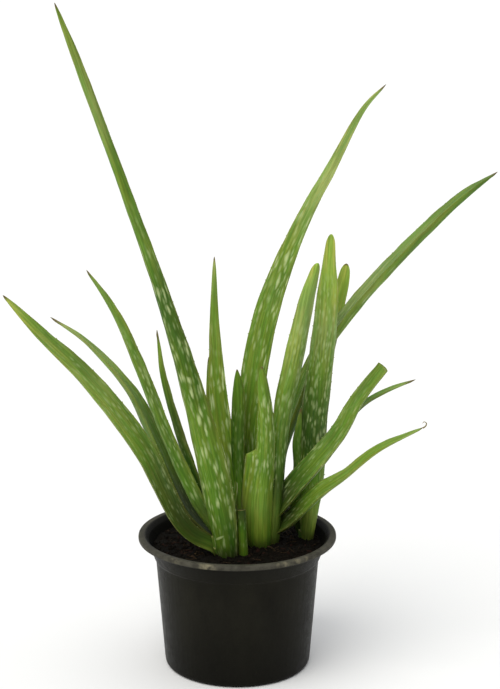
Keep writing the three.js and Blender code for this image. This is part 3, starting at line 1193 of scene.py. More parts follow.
@dataclass(frozen=True)
class Soil:
    """The potting soil: an uneven bed with crumbs, bark bits and fibres on top.

    Each unevenness is lumps to a millimetre, the slice of the noise and the height of a lump.
    Each kind of bit is shades from dark to pale and how often each comes.
    """

    BED_SHARP = math.radians(60)
    CRUMB_SHARP = math.radians(35)
    SETTLING = 0.3
    UNEVENNESS = ((0.09, 3.1, 0.9), (0.28, 7.7, 0.75), (0.9, 1.3, 0.35))
    CRUMB_SHADES = ((0.15, 0.25, 0.35, 0.55), (0.47, 0.35, 0.14, 0.04))
    BARK_SHADES = ((0.35, 0.6, 0.85, 1.0), (0.5, 0.3, 0.14, 0.06))
    CRUMB_SIZE = (0.35, 1.25)
    CRUMB_SIDES = (0.6, 1.2)
    BARK_SIDES = ((1.2, 3.0), (0.5, 1.1), (0.25, 0.5))
    CRUMB_EDGE = 1.2
    CRUMB_TILT = 0.35
    CRUMB_LIFT = 0.2
    ROUGHNESS = 0.22
    FIBRE_TURN = 0.45
    FIBRE_EDGE = 8.0
    FIBRE_POINTS = 7
    FIBRE_STEP = 1.2
    FIBRE_RADIUS = 0.17
    FIBRE_SIDES = 4
    FIBRE_LIFT = 0.7
    FIBRE_SHADE = 0.9

    node: str = "soil"
    floor: float = 3.4
    floor_radius: float = 39.4
    corner_height: float = 7.0
    corner_radius: float = 42.9
    wall_height: float = 67.3
    wall_radius: float = 47.9
    edge_height: float = 75.2
    edge_radius: float = 51.0
    middle_height: float = 77.0
    shoulder_radius: float = 44.0
    shoulder_height: float = 76.2
    rings: int = 84
    sides: int = 180
    crumbs: int = 1500
    bark_bits: int = 150
    fibres: int = 60
    seed: int = 11
    finish: SoilFinish = SoilFinish()

    def height_at(self, x: float, y: float) -> float:
        """The bed's height at a place.

        Args:
            x: millimetres to the right.
            y: millimetres away from the viewer.

        Returns:
            The height.
        """
        radius = math.hypot(x, y)
        plain = float(np.interp(
            radius, (0, self.shoulder_radius / 2, self.shoulder_radius, self.edge_radius),
            (self.middle_height, self.middle_height, self.shoulder_height, self.edge_height)))
        height = plain - self.SETTLING
        for scale, piece, tall in self.UNEVENNESS:
            height += tall * noise.noise(Vector((x * scale, y * scale, piece)))
        return height

    def build(self) -> list[bpy.types.Object]:
        """Make the bed and what lies on it.

        Returns:
            The two pieces.
        """
        material = self.finish.material("potting_soil")
        pieces = (("soil_bed", self._bed(), self.BED_SHARP, [self.node]),
                  ("soil_crumbs", self._crumbs(), self.CRUMB_SHARP, []))
        return [show(name, surface.mesh(name, sharp), material, nodes)
                for name, surface, sharp, nodes in pieces]

    def _bed(self) -> Surface:
        """The bed, closed underneath.

        Returns:
            Its surface.
        """
        surface = Surface()
        points = [(0.0, 0.0, self.height_at(0, 0))]
        angles = circle(self.sides)
        for i in range(1, self.rings + 1):
            radius = self.edge_radius * i / self.rings
            for angle in angles:
                x, y = radius * math.cos(angle), radius * math.sin(angle)
                points.append((x, y, self.height_at(x, y)))
        below = ((self.wall_radius, self.wall_height), (self.corner_radius, self.corner_height),
                 (self.floor_radius, self.floor))
        for radius, height in below:
            points += [(radius * math.cos(a), radius * math.sin(a), height) for a in angles]
        points.append((0.0, 0.0, self.floor))
        surface.add(points, turned(self.rings + len(below), self.sides, flipped=True),
                    place=points, bit=[0.0] * len(points))
        return surface

    def _crumbs(self) -> Surface:
        """Crumbs, bark bits and fibres.

        Returns:
            Their surface.
        """
        rng = np.random.default_rng(self.seed)
        surface = Surface()
        ball, ball_faces = rounded_lump()
        for index in range(self.crumbs + self.bark_bits):
            radius = (self.edge_radius - self.CRUMB_EDGE) * math.sqrt(rng.random())
            angle = rng.uniform(0, 2 * math.pi)
            x, y = radius * math.cos(angle), radius * math.sin(angle)
            size = rng.uniform(*self.CRUMB_SIZE) ** 1.3
            sizes = size * rng.uniform(*self.CRUMB_SIDES, 3)
            shades, chances = self.CRUMB_SHADES
            shade = rng.choice(shades, p=chances)
            if index >= self.crumbs:
                sizes = np.array([rng.uniform(*limits) for limits in self.BARK_SIDES])
                shades, chances = self.BARK_SHADES
                shade = rng.choice(shades, p=chances)
            rough = rng.uniform(-self.ROUGHNESS, self.ROUGHNESS, (len(ball), 1))
            lump = ball * (1 + rough) * sizes
            lump = lump @ turn_matrix(rng.uniform(0, 2 * math.pi),
                                      rng.normal(0, self.CRUMB_TILT))
            lump += (x, y, self.height_at(x, y) + self.CRUMB_LIFT * sizes[2])
            surface.add(lump.tolist(), ball_faces, place=lump.tolist(),
                        bit=[float(shade)] * len(lump))
        for _ in range(self.fibres):
            self._fibre(surface, rng)
        return surface

    def _fibre(self, surface: Surface, rng: np.random.Generator) -> None:
        """One thin fibre that lies on the bed.

        Args:
            surface: what it is added to.
            rng: the source of randomness.
        """
        radius = (self.edge_radius - self.FIBRE_EDGE) * math.sqrt(rng.random())
        angle, way = rng.uniform(0, 2 * math.pi, 2)
        x, y = radius * math.cos(angle), radius * math.sin(angle)
        path = []
        for _ in range(self.FIBRE_POINTS):
            path.append((x, y, self.height_at(x, y) + self.FIBRE_LIFT))
            x, y = x + self.FIBRE_STEP * math.cos(way), y + self.FIBRE_STEP * math.sin(way)
            way += rng.normal(0, self.FIBRE_TURN)
        points = strand(np.array(path), [self.FIBRE_RADIUS] * len(path), self.FIBRE_SIDES,
                        (0.0, 0.0, 1.0))
        surface.add(points, tube(len(path), self.FIBRE_SIDES), place=points,
                    bit=[self.FIBRE_SHADE] * len(points))


def rounded_lump() -> tuple[np.ndarray, list[tuple[int, ...]]]:
    """A small rough ball.

    Returns:
        Its points and faces.
    """
    golden = (1 + math.sqrt(5)) / 2
    points = unit(np.array([(-1, golden, 0), (1, golden, 0), (-1, -golden, 0), (1, -golden, 0),
                            (0, -1, golden), (0, 1, golden), (0, -1, -golden), (0, 1, -golden),
                            (golden, 0, -1), (golden, 0, 1), (-golden, 0, -1), (-golden, 0, 1)]))
    faces = [(0, 11, 5), (0, 5, 1), (0, 1, 7), (0, 7, 10), (0, 10, 11), (1, 5, 9), (5, 11, 4),
             (11, 10, 2), (10, 7, 6), (7, 1, 8), (3, 9, 4), (3, 4, 2), (3, 2, 6), (3, 6, 8),
             (3, 8, 9), (4, 9, 5), (2, 4, 11), (6, 2, 10), (8, 6, 7), (9, 8, 1)]
    rows = [tuple(point) for point in points]
    halves: dict[tuple[int, int], int] = {}

    def half(a: int, b: int) -> int:
        """The point half way between two, made once."""
        key = (min(a, b), max(a, b))
        if key not in halves:
            halves[key] = len(rows)
            rows.append(tuple(unit((points[a] + points[b])[None])[0]))
        return halves[key]

    finer = []
    for a, b, c in faces:
        ab, bc, ca = half(a, b), half(b, c), half(c, a)
        finer += [(a, ab, ca), (b, bc, ab), (c, ca, bc), (ab, bc, ca)]
    return np.array(rows), finer


def turn_matrix(spin: float, tilt: float) -> np.ndarray:
    """A turn about Z after a tilt about X.

    Args:
        spin: the turn, in radians.
        tilt: the tilt, in radians.

    Returns:
        The matrix for points in rows.
    """
    flat = np.array([[math.cos(spin), math.sin(spin), 0], [-math.sin(spin), math.cos(spin), 0],
                     [0, 0, 1]])
    lean = np.array([[1, 0, 0], [0, math.cos(tilt), math.sin(tilt)],
                     [0, -math.sin(tilt), math.cos(tilt)]])
    return lean @ flat


@dataclass(frozen=True)
class PotFinish:
    """Black moulded plastic with a satin skin, a thin dusty film and pale marks on the lip. The
    lip's film and marks are partly painted highlight, and painted shade darkens the plastic
    towards the bottom, inside and on the collar.
    """

    PLASTIC = ((0.3, srgb(18, 17, 12)), (0.7, srgb(28, 27, 20)))
    SHADOW = srgb(10, 10, 7)
    DUST_AND_HIGHLIGHT = srgb(124, 121, 108)
    MARK_AND_HIGHLIGHT = srgb(158, 150, 120)
    HAZE = (0.05, 0.05, 0.025)
    FLOW = (0.5, 0.5, 0.02)
    ROUGHNESS = (0.34, 0.46)
    RELIEF = 0.0003

    slot: str = "pot_plastic"

    def material(self, name: str) -> bpy.types.Material:
        """The pot's material.

        Args:
            name: the material's name.

        Returns:
            The material.
        """
        recipe = Recipe(name)
        place = recipe.attribute("place")
        dust_and_highlight, mark_and_highlight, shade_and_dullness = recipe.parts(recipe.attribute("soiling_and_light"))
        haze = recipe.grain(place, self.HAZE, 4.0, 0.6)
        mottle = recipe.cloud(place, 0.25, 4.0, 0.6)
        flow = recipe.grain(place, self.FLOW)
        grain = recipe.cloud(place, 3.5, 2.0, 0.6)
        # Painted shade: the plastic is darker towards the bottom.
        low = recipe.ease(recipe.parts(place)[2], 0.0, 55.0, 0.6, 0.0)
        film = recipe.times(dust_and_highlight, recipe.ease(mottle, 0.3, 0.7, 0.5, 1.0))
        stain_and_highlight = recipe.times(mark_and_highlight, recipe.ease(mottle, 0.35, 0.6))
        colour = recipe.ramp(haze, self.PLASTIC)
        # Painted shade: darker towards the bottom, and on the inner wall and the collar.
        colour = recipe.blend(recipe.maths("MAXIMUM", low, shade_and_dullness), colour, self.SHADOW)
        # The lip's pale film and marks are partly painted highlight.
        colour = recipe.blend(film, colour, self.DUST_AND_HIGHLIGHT)
        colour = recipe.blend(stain_and_highlight, colour, self.MARK_AND_HIGHLIGHT)
        rough = recipe.maths("ADD", recipe.ease(mottle, 0.25, 0.75, *self.ROUGHNESS),
                             recipe.times(film, 0.5))
        height = recipe.maths("ADD", recipe.times(grain, 0.3), recipe.times(flow, 0.35))
        return recipe.finish(colour, recipe.maths("MAXIMUM", rough, shade_and_dullness),
                             recipe.relief(height, self.RELIEF), Specular_IOR_Level=0.05)


@dataclass(frozen=True)
class Pot:
    """The nursery pot: flat lip, sloped collar, tapered wall, foot ring, hub and drain holes.

    Each entry of lip_marks_and_highlights is its middle and its spread in degrees around the lip,
    and its strength. These pale marks on the lip's front face are partly painted highlight,
    strongest at the front left.
    """

    SHARP = math.radians(40)
    WALL_DUST = 0.008
    # The lip's pale film is part dusty coating and part painted highlight.
    LIP_DUST_AND_HIGHLIGHT = 0.33
    # How much duller and darker the collar and the inside are; the darkening is painted shade.
    COLLAR_SHADE_AND_DULLNESS = 0.35
    SHADE_AND_DULLNESS = 0.9
    WAVER_START = 70.0
    WAVER_RISE = 12.0
    DRILL_SIDES = 40
    DRILL_HEIGHTS = (-2.0, 8.0)

    node: str = "pot"
    height: float = 82.5
    wall: float = 1.3
    lip_radius: float = 60.0
    lip_inner_radius: float = 55.8
    lip_depth: float = 3.2
    collar_top_radius: float = 54.4
    collar_bottom_radius: float = 50.4
    collar_bottom_height: float = 68.2
    shoulder: float = 0.9
    foot_radius: float = 44.2
    foot_inner_radius: float = 34.0
    hub_radius: float = 14.0
    recess: float = 1.6
    floor_thickness: float = 1.5
    drain_count: int = 8
    drain_radius: float = 3.5
    drain_ring_radius: float = 26.0
    segments: int = 192
    lip_waver: float = 0.12
    lip_marks_and_highlights: tuple[tuple[float, float, float], ...] = (
        (-17.0, 4.5, 0.45), (24.0, 1.4, 0.3), (28.5, 1.3, 0.4), (36.0, 2.0, 0.35),
        (43.0, 1.5, 0.2), (-37.0, 3.0, 0.15))
    finish: PotFinish = PotFinish()

    def _profile(self) -> list[tuple[float, float]]:
        """The section's outline from the hub, up the outside, over the lip and down the inside.

        Returns:
            Radii and heights.
        """
        lip_bottom = self.height - self.lip_depth
        wall_top = self.collar_bottom_height - self.shoulder
        floor_top = self.recess + self.floor_thickness
        inner_foot = self.foot_radius - self.wall
        corners = [
            (self.hub_radius, 0.0, 0.3),
            (self.hub_radius + 1, self.recess, 0.3),
            (self.foot_inner_radius - 1, self.recess, 0.3),
            (self.foot_inner_radius, 0.0, 0.3),
            (self.foot_radius, 0.0, 3.3),
            (self.collar_bottom_radius - self.shoulder, wall_top, 1.4),
            (self.collar_bottom_radius, self.collar_bottom_height, 0.8),
            (self.collar_top_radius, lip_bottom, 0.9),
            (self.lip_radius, lip_bottom, 1.3),
            (self.lip_radius, self.height, 1.4),
            (self.lip_inner_radius, self.height, 1.2),
            (self.collar_top_radius - self.wall, lip_bottom - 0.5, 1.2),
            (self.collar_bottom_radius - self.wall, self.collar_bottom_height, 0.8),
            (self.collar_bottom_radius - self.shoulder - self.wall, wall_top, 0.8),
            (inner_foot, floor_top + 3.6, 1.5),
            (self.foot_radius - 4.4, floor_top, 1.0),
        ]
        return [(0.0, 0.0), *rounded(corners), (0.0, floor_top)]

    def _soiling_and_light(self, x: float, y: float, z: float) -> tuple[float, float, float]:
        """Dust, lip marks and dullness at a point. The lip's film and marks are partly painted
        highlight, and the dullness also darkens the inner wall and the collar as painted shade.

        Args:
            x: millimetres to the right.
            y: millimetres away from the viewer.
            z: the height.

        Returns:
            The amount of dusty film, which on the lip is partly painted highlight, the lip marks,
            which are partly painted highlight too, and the dullness of the inner wall or the
            collar, which also darkens them as painted shade.
        """
        def share(value: float, start: float, length: float) -> float:
            """How far a value is past a start, from 0 to 1 over a length."""
            return min(1.0, max(0.0, (value - start) / length))

        radius = math.hypot(x, y)
        bearing = math.degrees(math.atan2(x, -y))
        mark_and_highlight = sum(strength * math.exp(-((bearing - middle) / spread) ** 2)
                   for middle, spread, strength in self.lip_marks_and_highlights)
        lip_bottom = self.height - self.lip_depth
        lip = share(radius, self.lip_inner_radius, 0.8) * share(z, lip_bottom + 0.1, 0.5)
        face = lip * share(radius, self.lip_radius - 1.8, 0.8)
        collar_low = self.collar_bottom_height
        wall = np.interp(z, (0, collar_low - self.shoulder, collar_low, lip_bottom),
                         (self.foot_radius, self.collar_bottom_radius - self.shoulder,
                          self.collar_bottom_radius, self.collar_top_radius))
        # Duller and darker inside and on the collar: the darkening is painted shade.
        inside = share(wall - 0.3, radius, 0.5)
        collar = self.COLLAR_SHADE_AND_DULLNESS * share(z, collar_low + 0.3, 1.0)
        shade_and_dullness = (1 - lip) * self.SHADE_AND_DULLNESS * max(inside, collar)
        return self.WALL_DUST + self.LIP_DUST_AND_HIGHLIGHT * lip, face * min(1.0, mark_and_highlight), shade_and_dullness

    def build(self) -> bpy.types.Object:
        """Make the pot.

        Returns:
            The piece.
        """
        profile = self._profile()
        points = [(0.0, 0.0, profile[0][1])]
        for radius, height in profile[1:-1]:
            lift = float(np.clip((height - self.WAVER_START) / self.WAVER_RISE, 0, 1))
            for a in circle(self.segments):
                waver = self.lip_waver * lift * (math.sin(3 * a + 0.6) + 0.5 * math.sin(7 * a))
                points.append((radius * math.cos(a), radius * math.sin(a), height + waver))
        points.append((0.0, 0.0, profile[-1][1]))
        blank = Surface()
        blank.add(points, turned(len(profile) - 2, self.segments))
        mesh = self._drilled(blank.mesh("pot_blank", self.SHARP))
        mesh.name = "pot"
        coordinates = np.empty(3 * len(mesh.vertices), np.float32)
        mesh.vertices.foreach_get("co", coordinates)
        rows = coordinates.reshape(-1, 3) / MM
        store(mesh, "place", rows)
        store(mesh, "soiling_and_light", [self._soiling_and_light(*row) for row in rows])
        mesh.shade_smooth()
        mesh.set_sharp_from_angle(angle=self.SHARP)
        return show("nursery_pot", mesh, self.finish.material("pot_plastic"),
                    [self.node])

    def _drilled(self, blank: bpy.types.Mesh) -> bpy.types.Mesh:
        """The pot with its drain holes.

        Args:
            blank: the pot without them.

        Returns:
            The new mesh.
        """
        drills = Surface()
        for i in range(self.drain_count):
            bearing = 2 * math.pi * (i + 0.5) / self.drain_count
            x = self.drain_ring_radius * math.cos(bearing)
            y = self.drain_ring_radius * math.sin(bearing)
            drills.add([(x + self.drain_radius * math.cos(a), y + self.drain_radius * math.sin(a),
                         z) for z in self.DRILL_HEIGHTS for a in circle(self.DRILL_SIDES)],
                       tube(len(self.DRILL_HEIGHTS), self.DRILL_SIDES))
        pot = place_object("pot_blank", blank)
        tool = place_object("drills", drills.mesh("drills"))
        cut = pot.modifiers.new("drain", "BOOLEAN")
        cut.operation = "DIFFERENCE"
        cut.solver = "EXACT"
        cut.object = tool
        graph = bpy.context.evaluated_depsgraph_get()
        mesh = bpy.data.meshes.new_from_object(pot.evaluated_get(graph))
        for thing in (pot, tool):
            bpy.data.objects.remove(thing)
        return mesh


def rounded(corners: Sequence[tuple[float, float, float]], steps: int = 5
            ) -> list[tuple[float, float]]:
    """An outline with its corners rounded.

    Args:
        corners: x, y and the length that the rounding takes from each side of the corner.
        steps: how many points make up one rounding.

    Returns:
        The outline's points. The first and last corners stay as they are.
    """
    places = [np.array(corner[:2]) for corner in corners]
    outline = [tuple(places[0])]
    for before, corner, after, (_, _, reach) in zip(places, places[1:], places[2:], corners[1:]):
        back, ahead = before - corner, after - corner
        start = corner + back * min(0.48, reach / np.linalg.norm(back))
        end = corner + ahead * min(0.48, reach / np.linalg.norm(ahead))
        for t in np.linspace(0, 1, steps):
            outline.append(tuple((1 - t) ** 2 * start + 2 * t * (1 - t) * corner + t * t * end))
    outline.append(tuple(places[-1]))
    return outline


@dataclass(frozen=True)
class Plant:
    """The three crowns and all their leaves."""

    left: tuple[float, float] = (-9.0, -18.0)
    centre: tuple[float, float] = (14.0, -2.0)
    right: tuple[float, float] = (41.5, 11.0)

    def crowns(self) -> list[Crown]:
        """The crowns, from left to right."""
        return [
            Crown("crown_left", *self.left, 7.0, 58.0, 100.0, turn=0.4),
            Crown("crown_centre", *self.centre, 7.5, 58.0, 104.0, turn=2.2),
            Crown("crown_right", *self.right, 4.2, 66.0, 97.0, turn=4.0),
        ]

    def left_leaves(self) -> list[Leaf]:
        """The leaves of the left crown."""
        return [
            Leaf("leaf_tall_left", (
                (-7, -27, 81, 14), (-13, -25, 118, 19.5), (-25, -25, 171, 15),
                (-42, -30, 233, 9.5), (-66, -37, 307, 6.5), (-86, -44, 366, 5.5),
                (-98, -48, 401, 1.5)), (0.35, 0.9, 0), 0.32, 0.18, 10, self.left,
                LeafFinish("leaf", (
                    (0.0, Tone.DEEP), (0.06, Tone.MOSS), (0.19, Tone.LEAF), (0.31, Tone.MOSS),
                    (0.44, Tone.DEEP), (0.56, Tone.LEAF), (0.7, Tone.LEAF), (0.81, Tone.SAGE),
                    (0.94, Tone.FRESH)),
                    Spots(0.75, 0.66, 2.4, 11, -0.05, 0.62, 0.35), 0.06,
                    scars=((-1.1, 9.0, 3.0, 0.8, 0.36),), lean=-0.2), 1),
            Leaf("leaf_far_left", (
                (-13, -21, 80, 10), (-33, -25, 96, 12), (-55, -31, 143.5, 15),
                (-83.5, -38, 185.5, 13), (-112.5, -44, 217.5, 8), (-131, -48, 239.5, 2)),
                (0.45, -0.65, 0.6), 0.3, 0.16, 10, self.left,
                LeafFinish("leaf", (
                    (0.0, Tone.KHAKI), (0.07, Tone.UMBER), (0.17, Tone.UMBER),
                    (0.28, Tone.KHAKI), (0.44, Tone.LEAF), (0.56, Tone.FRESH),
                    (0.85, Tone.FRESH), (0.94, Tone.LIME)),
                    Spots(0.3, 0.5, 2.6, 9, 0.15, 0.85, 0.35), 0.1, lean=0.25), 2),
            Leaf("leaf_mid_left", (
                (-13, -19, 90, 9), (-24.8, -17, 109.5, 12), (-40.5, -13, 144, 10.5),
                (-55, -9, 181.5, 10), (-70.5, -5, 218, 7), (-88, -2, 245, 1.5)),
                (0.6, 0.6, 0.3), 0.34, 0.16, 10, self.left,
                LeafFinish("leaf", (
                    (0.0, Tone.KHAKI), (0.08, Tone.KHAKI), (0.18, Tone.FERN), (0.3, Tone.FERN),
                    (0.56, Tone.FERN), (0.7, Tone.LEAF), (0.82, Tone.SHEATH), (1.0, Tone.SAGE)),
                    Spots(0.35, 0.5, 2.2, 9, 0.1, 0.8, 0.5), 0.1, dry_tip=4,
                    scars=((-4.8, 21.7, 0.7, 3.0, 0.0),), lean=-0.18), 3),
            Leaf("leaf_thin_left", (
                (-13, -14, 84, 8), (-29.5, -9, 101, 13.5), (-48, 1, 141, 13),
                (-64.5, 9, 170.5, 8.5), (-89.5, 18, 196, 4.8), (-113, 26, 210.5, 1.5)),
                (0.6, -0.25, 0.75), 0.5, 0.14, 10, self.left,
                LeafFinish("leaf_deep", (
                    (0.0, Tone.NIGHT), (0.1, Tone.NIGHT), (0.2, Tone.UMBER), (0.32, Tone.MOSS),
                    (0.5, Tone.MOSS), (0.6, Tone.FERN), (0.7, Tone.FRESH), (0.82, Tone.SAGE),
                    (1.0, Tone.PALE)),
                    Spots(0.15, 0.3, 2.4, 8, 0.1, 0.8, 0.2), 0.16, dry_tip=8), 4),
            Leaf("leaf_slim_left", (
                (-11, -12, 92, 8), (-19.5, -5, 106, 8), (-32.5, 8, 138, 9), (-44, 23, 173, 6.5),
                (-49, 33, 201, 1.5)), (0.9, 0.3, 0.3), 0.5, 0.12, 9, self.left,
                LeafFinish("leaf_deep", (
                    (0.0, Tone.NIGHT), (0.2, Tone.SHADE), (0.32, Tone.DEEP), (0.44, Tone.KHAKI),
                    (0.6, Tone.DEEP), (0.7, Tone.MOSS), (0.82, Tone.LEAF), (1.0, Tone.FRESH)),
                    Spots(0.15, 0.3, 2.4, 8, 0.1, 0.7, 0.2), 0.04, dry_tip=7), 5),
            Leaf("leaf_upright_narrow", (
                (-7, -13, 92, 8), (-4.5, -8, 116, 9.5), (-9, -3, 148, 12), (-12, 2, 177, 10),
                (-13.5, 7, 210, 6), (-13.5, 14, 250, 1.5)), (0.1, -1, 0.1), 0.3, 0.2, 10,
                self.left,
                LeafFinish("leaf", (
                    (0.0, Tone.FERN), (0.2, Tone.FERN), (0.3, Tone.SHEATH), (0.44, Tone.SHEATH),
                    (0.56, Tone.SHEATH), (0.7, Tone.FRESH), (0.8, Tone.SHEATH), (1.0, Tone.PALE)),
                    Spots(1.0, 1.0, 3.0, 12, 0.08, 0.75, 0.5), 0.03, lean=0.1), 6),
            Leaf("leaf_small_back", (
                (-10, -13, 94, 6), (-12, -3, 128, 7.5), (-15.5, 4, 162, 7), (-17, 10, 189.5, 2)),
                (0.3, -0.9, 0), 0.3, 0.16, 8, self.left,
                LeafFinish("leaf_grey", (
                    (0.0, Tone.MOSS), (0.5, Tone.PALE), (0.8, Tone.GLOW), (1.0, Tone.PALE)),
                    Spots(0.4, 0.5, 2.2, 7, 0.1, 0.9, 0.3), 0.16), 7),
            Leaf("leaf_stub_front", (
                (3, -23, 70, 6), (3, -23.5, 88, 6), (2.5, -24, 105, 5.5)), (0.1, 1, 0),
                0.5, 0.12, 1.5, self.left,
                LeafFinish("leaf_deep", (
                    (0.0, Tone.SHADE), (0.3, Tone.MOSS), (0.55, Tone.MOSS), (0.7, Tone.DEEP),
                    (0.85, Tone.UMBER), (1.0, Tone.NIGHT)),
                    Spots(0.2, 0.3, 2.2, 7, 0.3, 1.0, 0.3), 0.02, dry_tip=0,
                    dry_cut=0.1), 8,
                end=LeafEnd.CUT),
        ]

    def centre_leaves(self) -> list[Leaf]:
        """The leaves of the middle crown."""
        return [
            Leaf("leaf_short_front", (
                (13.5, -11, 80, 15.5), (13.5, -12, 104, 16.5), (17, -14.5, 137, 11.8),
                (17, -17, 160, 9.4), (15.5, -20, 180, 6.3), (14.5, -21, 191.5, 3)),
                (-0.1, 1, 0), 0.26, 0.2, 8, self.centre,
                LeafFinish("leaf_bright", (
                    (0.0, Tone.LEAF), (0.07, Tone.SHEATH), (0.19, Tone.FRESH),
                    (0.33, Tone.SHEATH), (0.43, Tone.LEAF), (0.56, Tone.LEAF),
                    (0.8, Tone.LEAF), (1.0, Tone.LEAF)),
                    Spots(0.7, 0.66, 2.2, 9, 0.3, 0.95, 0.5), 0.05, dry_tip=1, lean=-0.15), 9,
                flap=(5.6, 55.0)),
            Leaf("leaf_tall_arched", (
                (11, 0, 97, 12), (6.5, 3, 128, 13), (9, 6, 167, 16), (19, 11, 219, 15),
                (38, 18, 268, 9.5), (57, 24, 303, 6.5), (73.5, 28, 334, 3.5),
                (88, 31, 350, 1.2)), (-0.3, -1, 0.2), 0.32, 0.18, 10, self.centre,
                LeafFinish("leaf", (
                    (0.0, Tone.FERN), (0.12, Tone.FERN), (0.18, Tone.LEAF), (0.5, Tone.LEAF),
                    (0.6, Tone.SHEATH), (0.7, Tone.SAGE), (0.78, Tone.PALE), (0.9, Tone.SAGE),
                    (1.0, Tone.PALE)),
                    Spots(0.8, 0.6, 2.6, 12, 0.12, 0.78, 0.5), 0.08, dry_tip=5, lean=0.15), 10),
            Leaf("leaf_short_dark", (
                (3, -4.5, 80, 8.5), (2, -6.5, 100, 8), (0.5, -7.5, 120, 8), (0, -7, 140, 8.5),
                (0.5, -5, 166, 8.5), (0, -4, 185.5, 2.5)), (0.3, 0.9, 0), 0.3, 0.18, 7,
                self.centre,
                LeafFinish("leaf_deep", (
                    (0.0, Tone.FRESH), (0.2, Tone.FRESH), (0.32, Tone.FERN), (0.45, Tone.MOSS),
                    (0.56, Tone.DEEP), (0.7, Tone.DEEP), (0.82, Tone.MOSS), (1.0, Tone.FERN)),
                    Spots(0.25, 0.4, 2.2, 8, 0.2, 0.9, 0.25), 0.02, dry_tip=1), 11),
            Leaf("leaf_blunt_centre", (
                (22, -6.8, 80, 7.6), (24, -7.5, 108, 8), (26.5, -5, 151, 11.2),
                (33, -7, 187, 12.4), (40.8, -10, 226.5, 9.7), (47, -12, 251, 4.6)),
                (-0.3, 1, 0), 0.28, 0.16, 5, self.centre,
                LeafFinish("leaf_grey", (
                    (0.0, Tone.KHAKI), (0.1, Tone.KHAKI), (0.19, Tone.UMBER), (0.32, Tone.MOSS),
                    (0.44, Tone.FERN), (0.56, Tone.LEAF), (0.69, Tone.FRESH), (0.82, Tone.SAGE),
                    (1.0, Tone.LIME)),
                    Spots(0.45, 0.5, 2.4, 9, 0.2, 0.85, 0.4), 0.1, dry_tip=0, lean=-0.22), 12),
            Leaf("leaf_cut_right", (
                (20, 1, 90, 12), (33.2, -7, 112, 15.5), (58.6, -15, 146.3, 13),
                (71, -18, 170, 10.5), (85.5, -22, 191, 9)), (-0.5, -0.6, 0.6), 0.32, 0.16, 2,
                self.centre,
                LeafFinish("leaf", (
                    (0.0, Tone.SHADE), (0.2, Tone.UMBER), (0.31, Tone.DEEP), (0.43, Tone.FERN),
                    (0.56, Tone.FERN), (0.7, Tone.LEAF), (0.85, Tone.FERN), (1.0, Tone.LEAF)),
                    Spots(0.45, 0.5, 2.2, 9, 0.15, 0.9, 0.3), 0.1, dry_tip=0, dry_cut=0.25,
                    lean=-0.15), 13,
                end=LeafEnd.CUT),
            Leaf("leaf_low_right", (
                (20.5, 0, 82, 9.5), (32, -8, 93.5, 12), (48.3, -18, 113.5, 11.4),
                (63.5, -24, 126.5, 7.5), (82, -32, 144.5, 6), (107, -42, 160.5, 1.5)),
                (-0.4, -0.5, 0.75), 0.36, 0.14, 9, self.centre,
                LeafFinish("leaf_bright", (
                    (0.0, Tone.UMBER), (0.1, Tone.UMBER), (0.19, Tone.UMBER), (0.31, Tone.FERN),
                    (0.44, Tone.LEAF), (0.56, Tone.FRESH), (0.75, Tone.SHEATH), (1.0, Tone.SAGE)),
                    Spots(0.25, 0.4, 2.4, 8, 0.1, 0.6, 0.3), 0.1, dry_tip=1.5), 14,
                curl=((107, -42, 160.3), (108.6, -42.5, 161.6), (108.9, -42.8, 163.4),
                      (107.6, -42.6, 164.2), (106.8, -42.4, 163.2))),
            Leaf("leaf_long_right", (
                (17, 3, 88, 7), (23, 12, 106, 9), (27.5, 19, 131, 10), (35.5, 24.5, 155, 12),
                (50, 32, 187, 12), (74.5, 37, 219.5, 11.5), (105, 42, 252, 10.5),
                (135, 46, 280, 8), (158, 50, 295.5, 1.2)), (-0.55, -0.2, 0.75), 0.5, 0.2, 10,
                self.centre,
                LeafFinish("leaf", (
                    (0.0, Tone.MOSS), (0.3, Tone.MOSS), (0.5, Tone.LEAF), (0.58, Tone.FRESH),
                    (0.68, Tone.LEAF), (0.82, Tone.LEAF), (0.92, Tone.FERN), (1.0, Tone.MOSS)),
                    Spots(0.5, 0.35, 2.2, 11, 0.3, 0.75, 0.25), 0.05, 0.24, 4), 15),
        ]

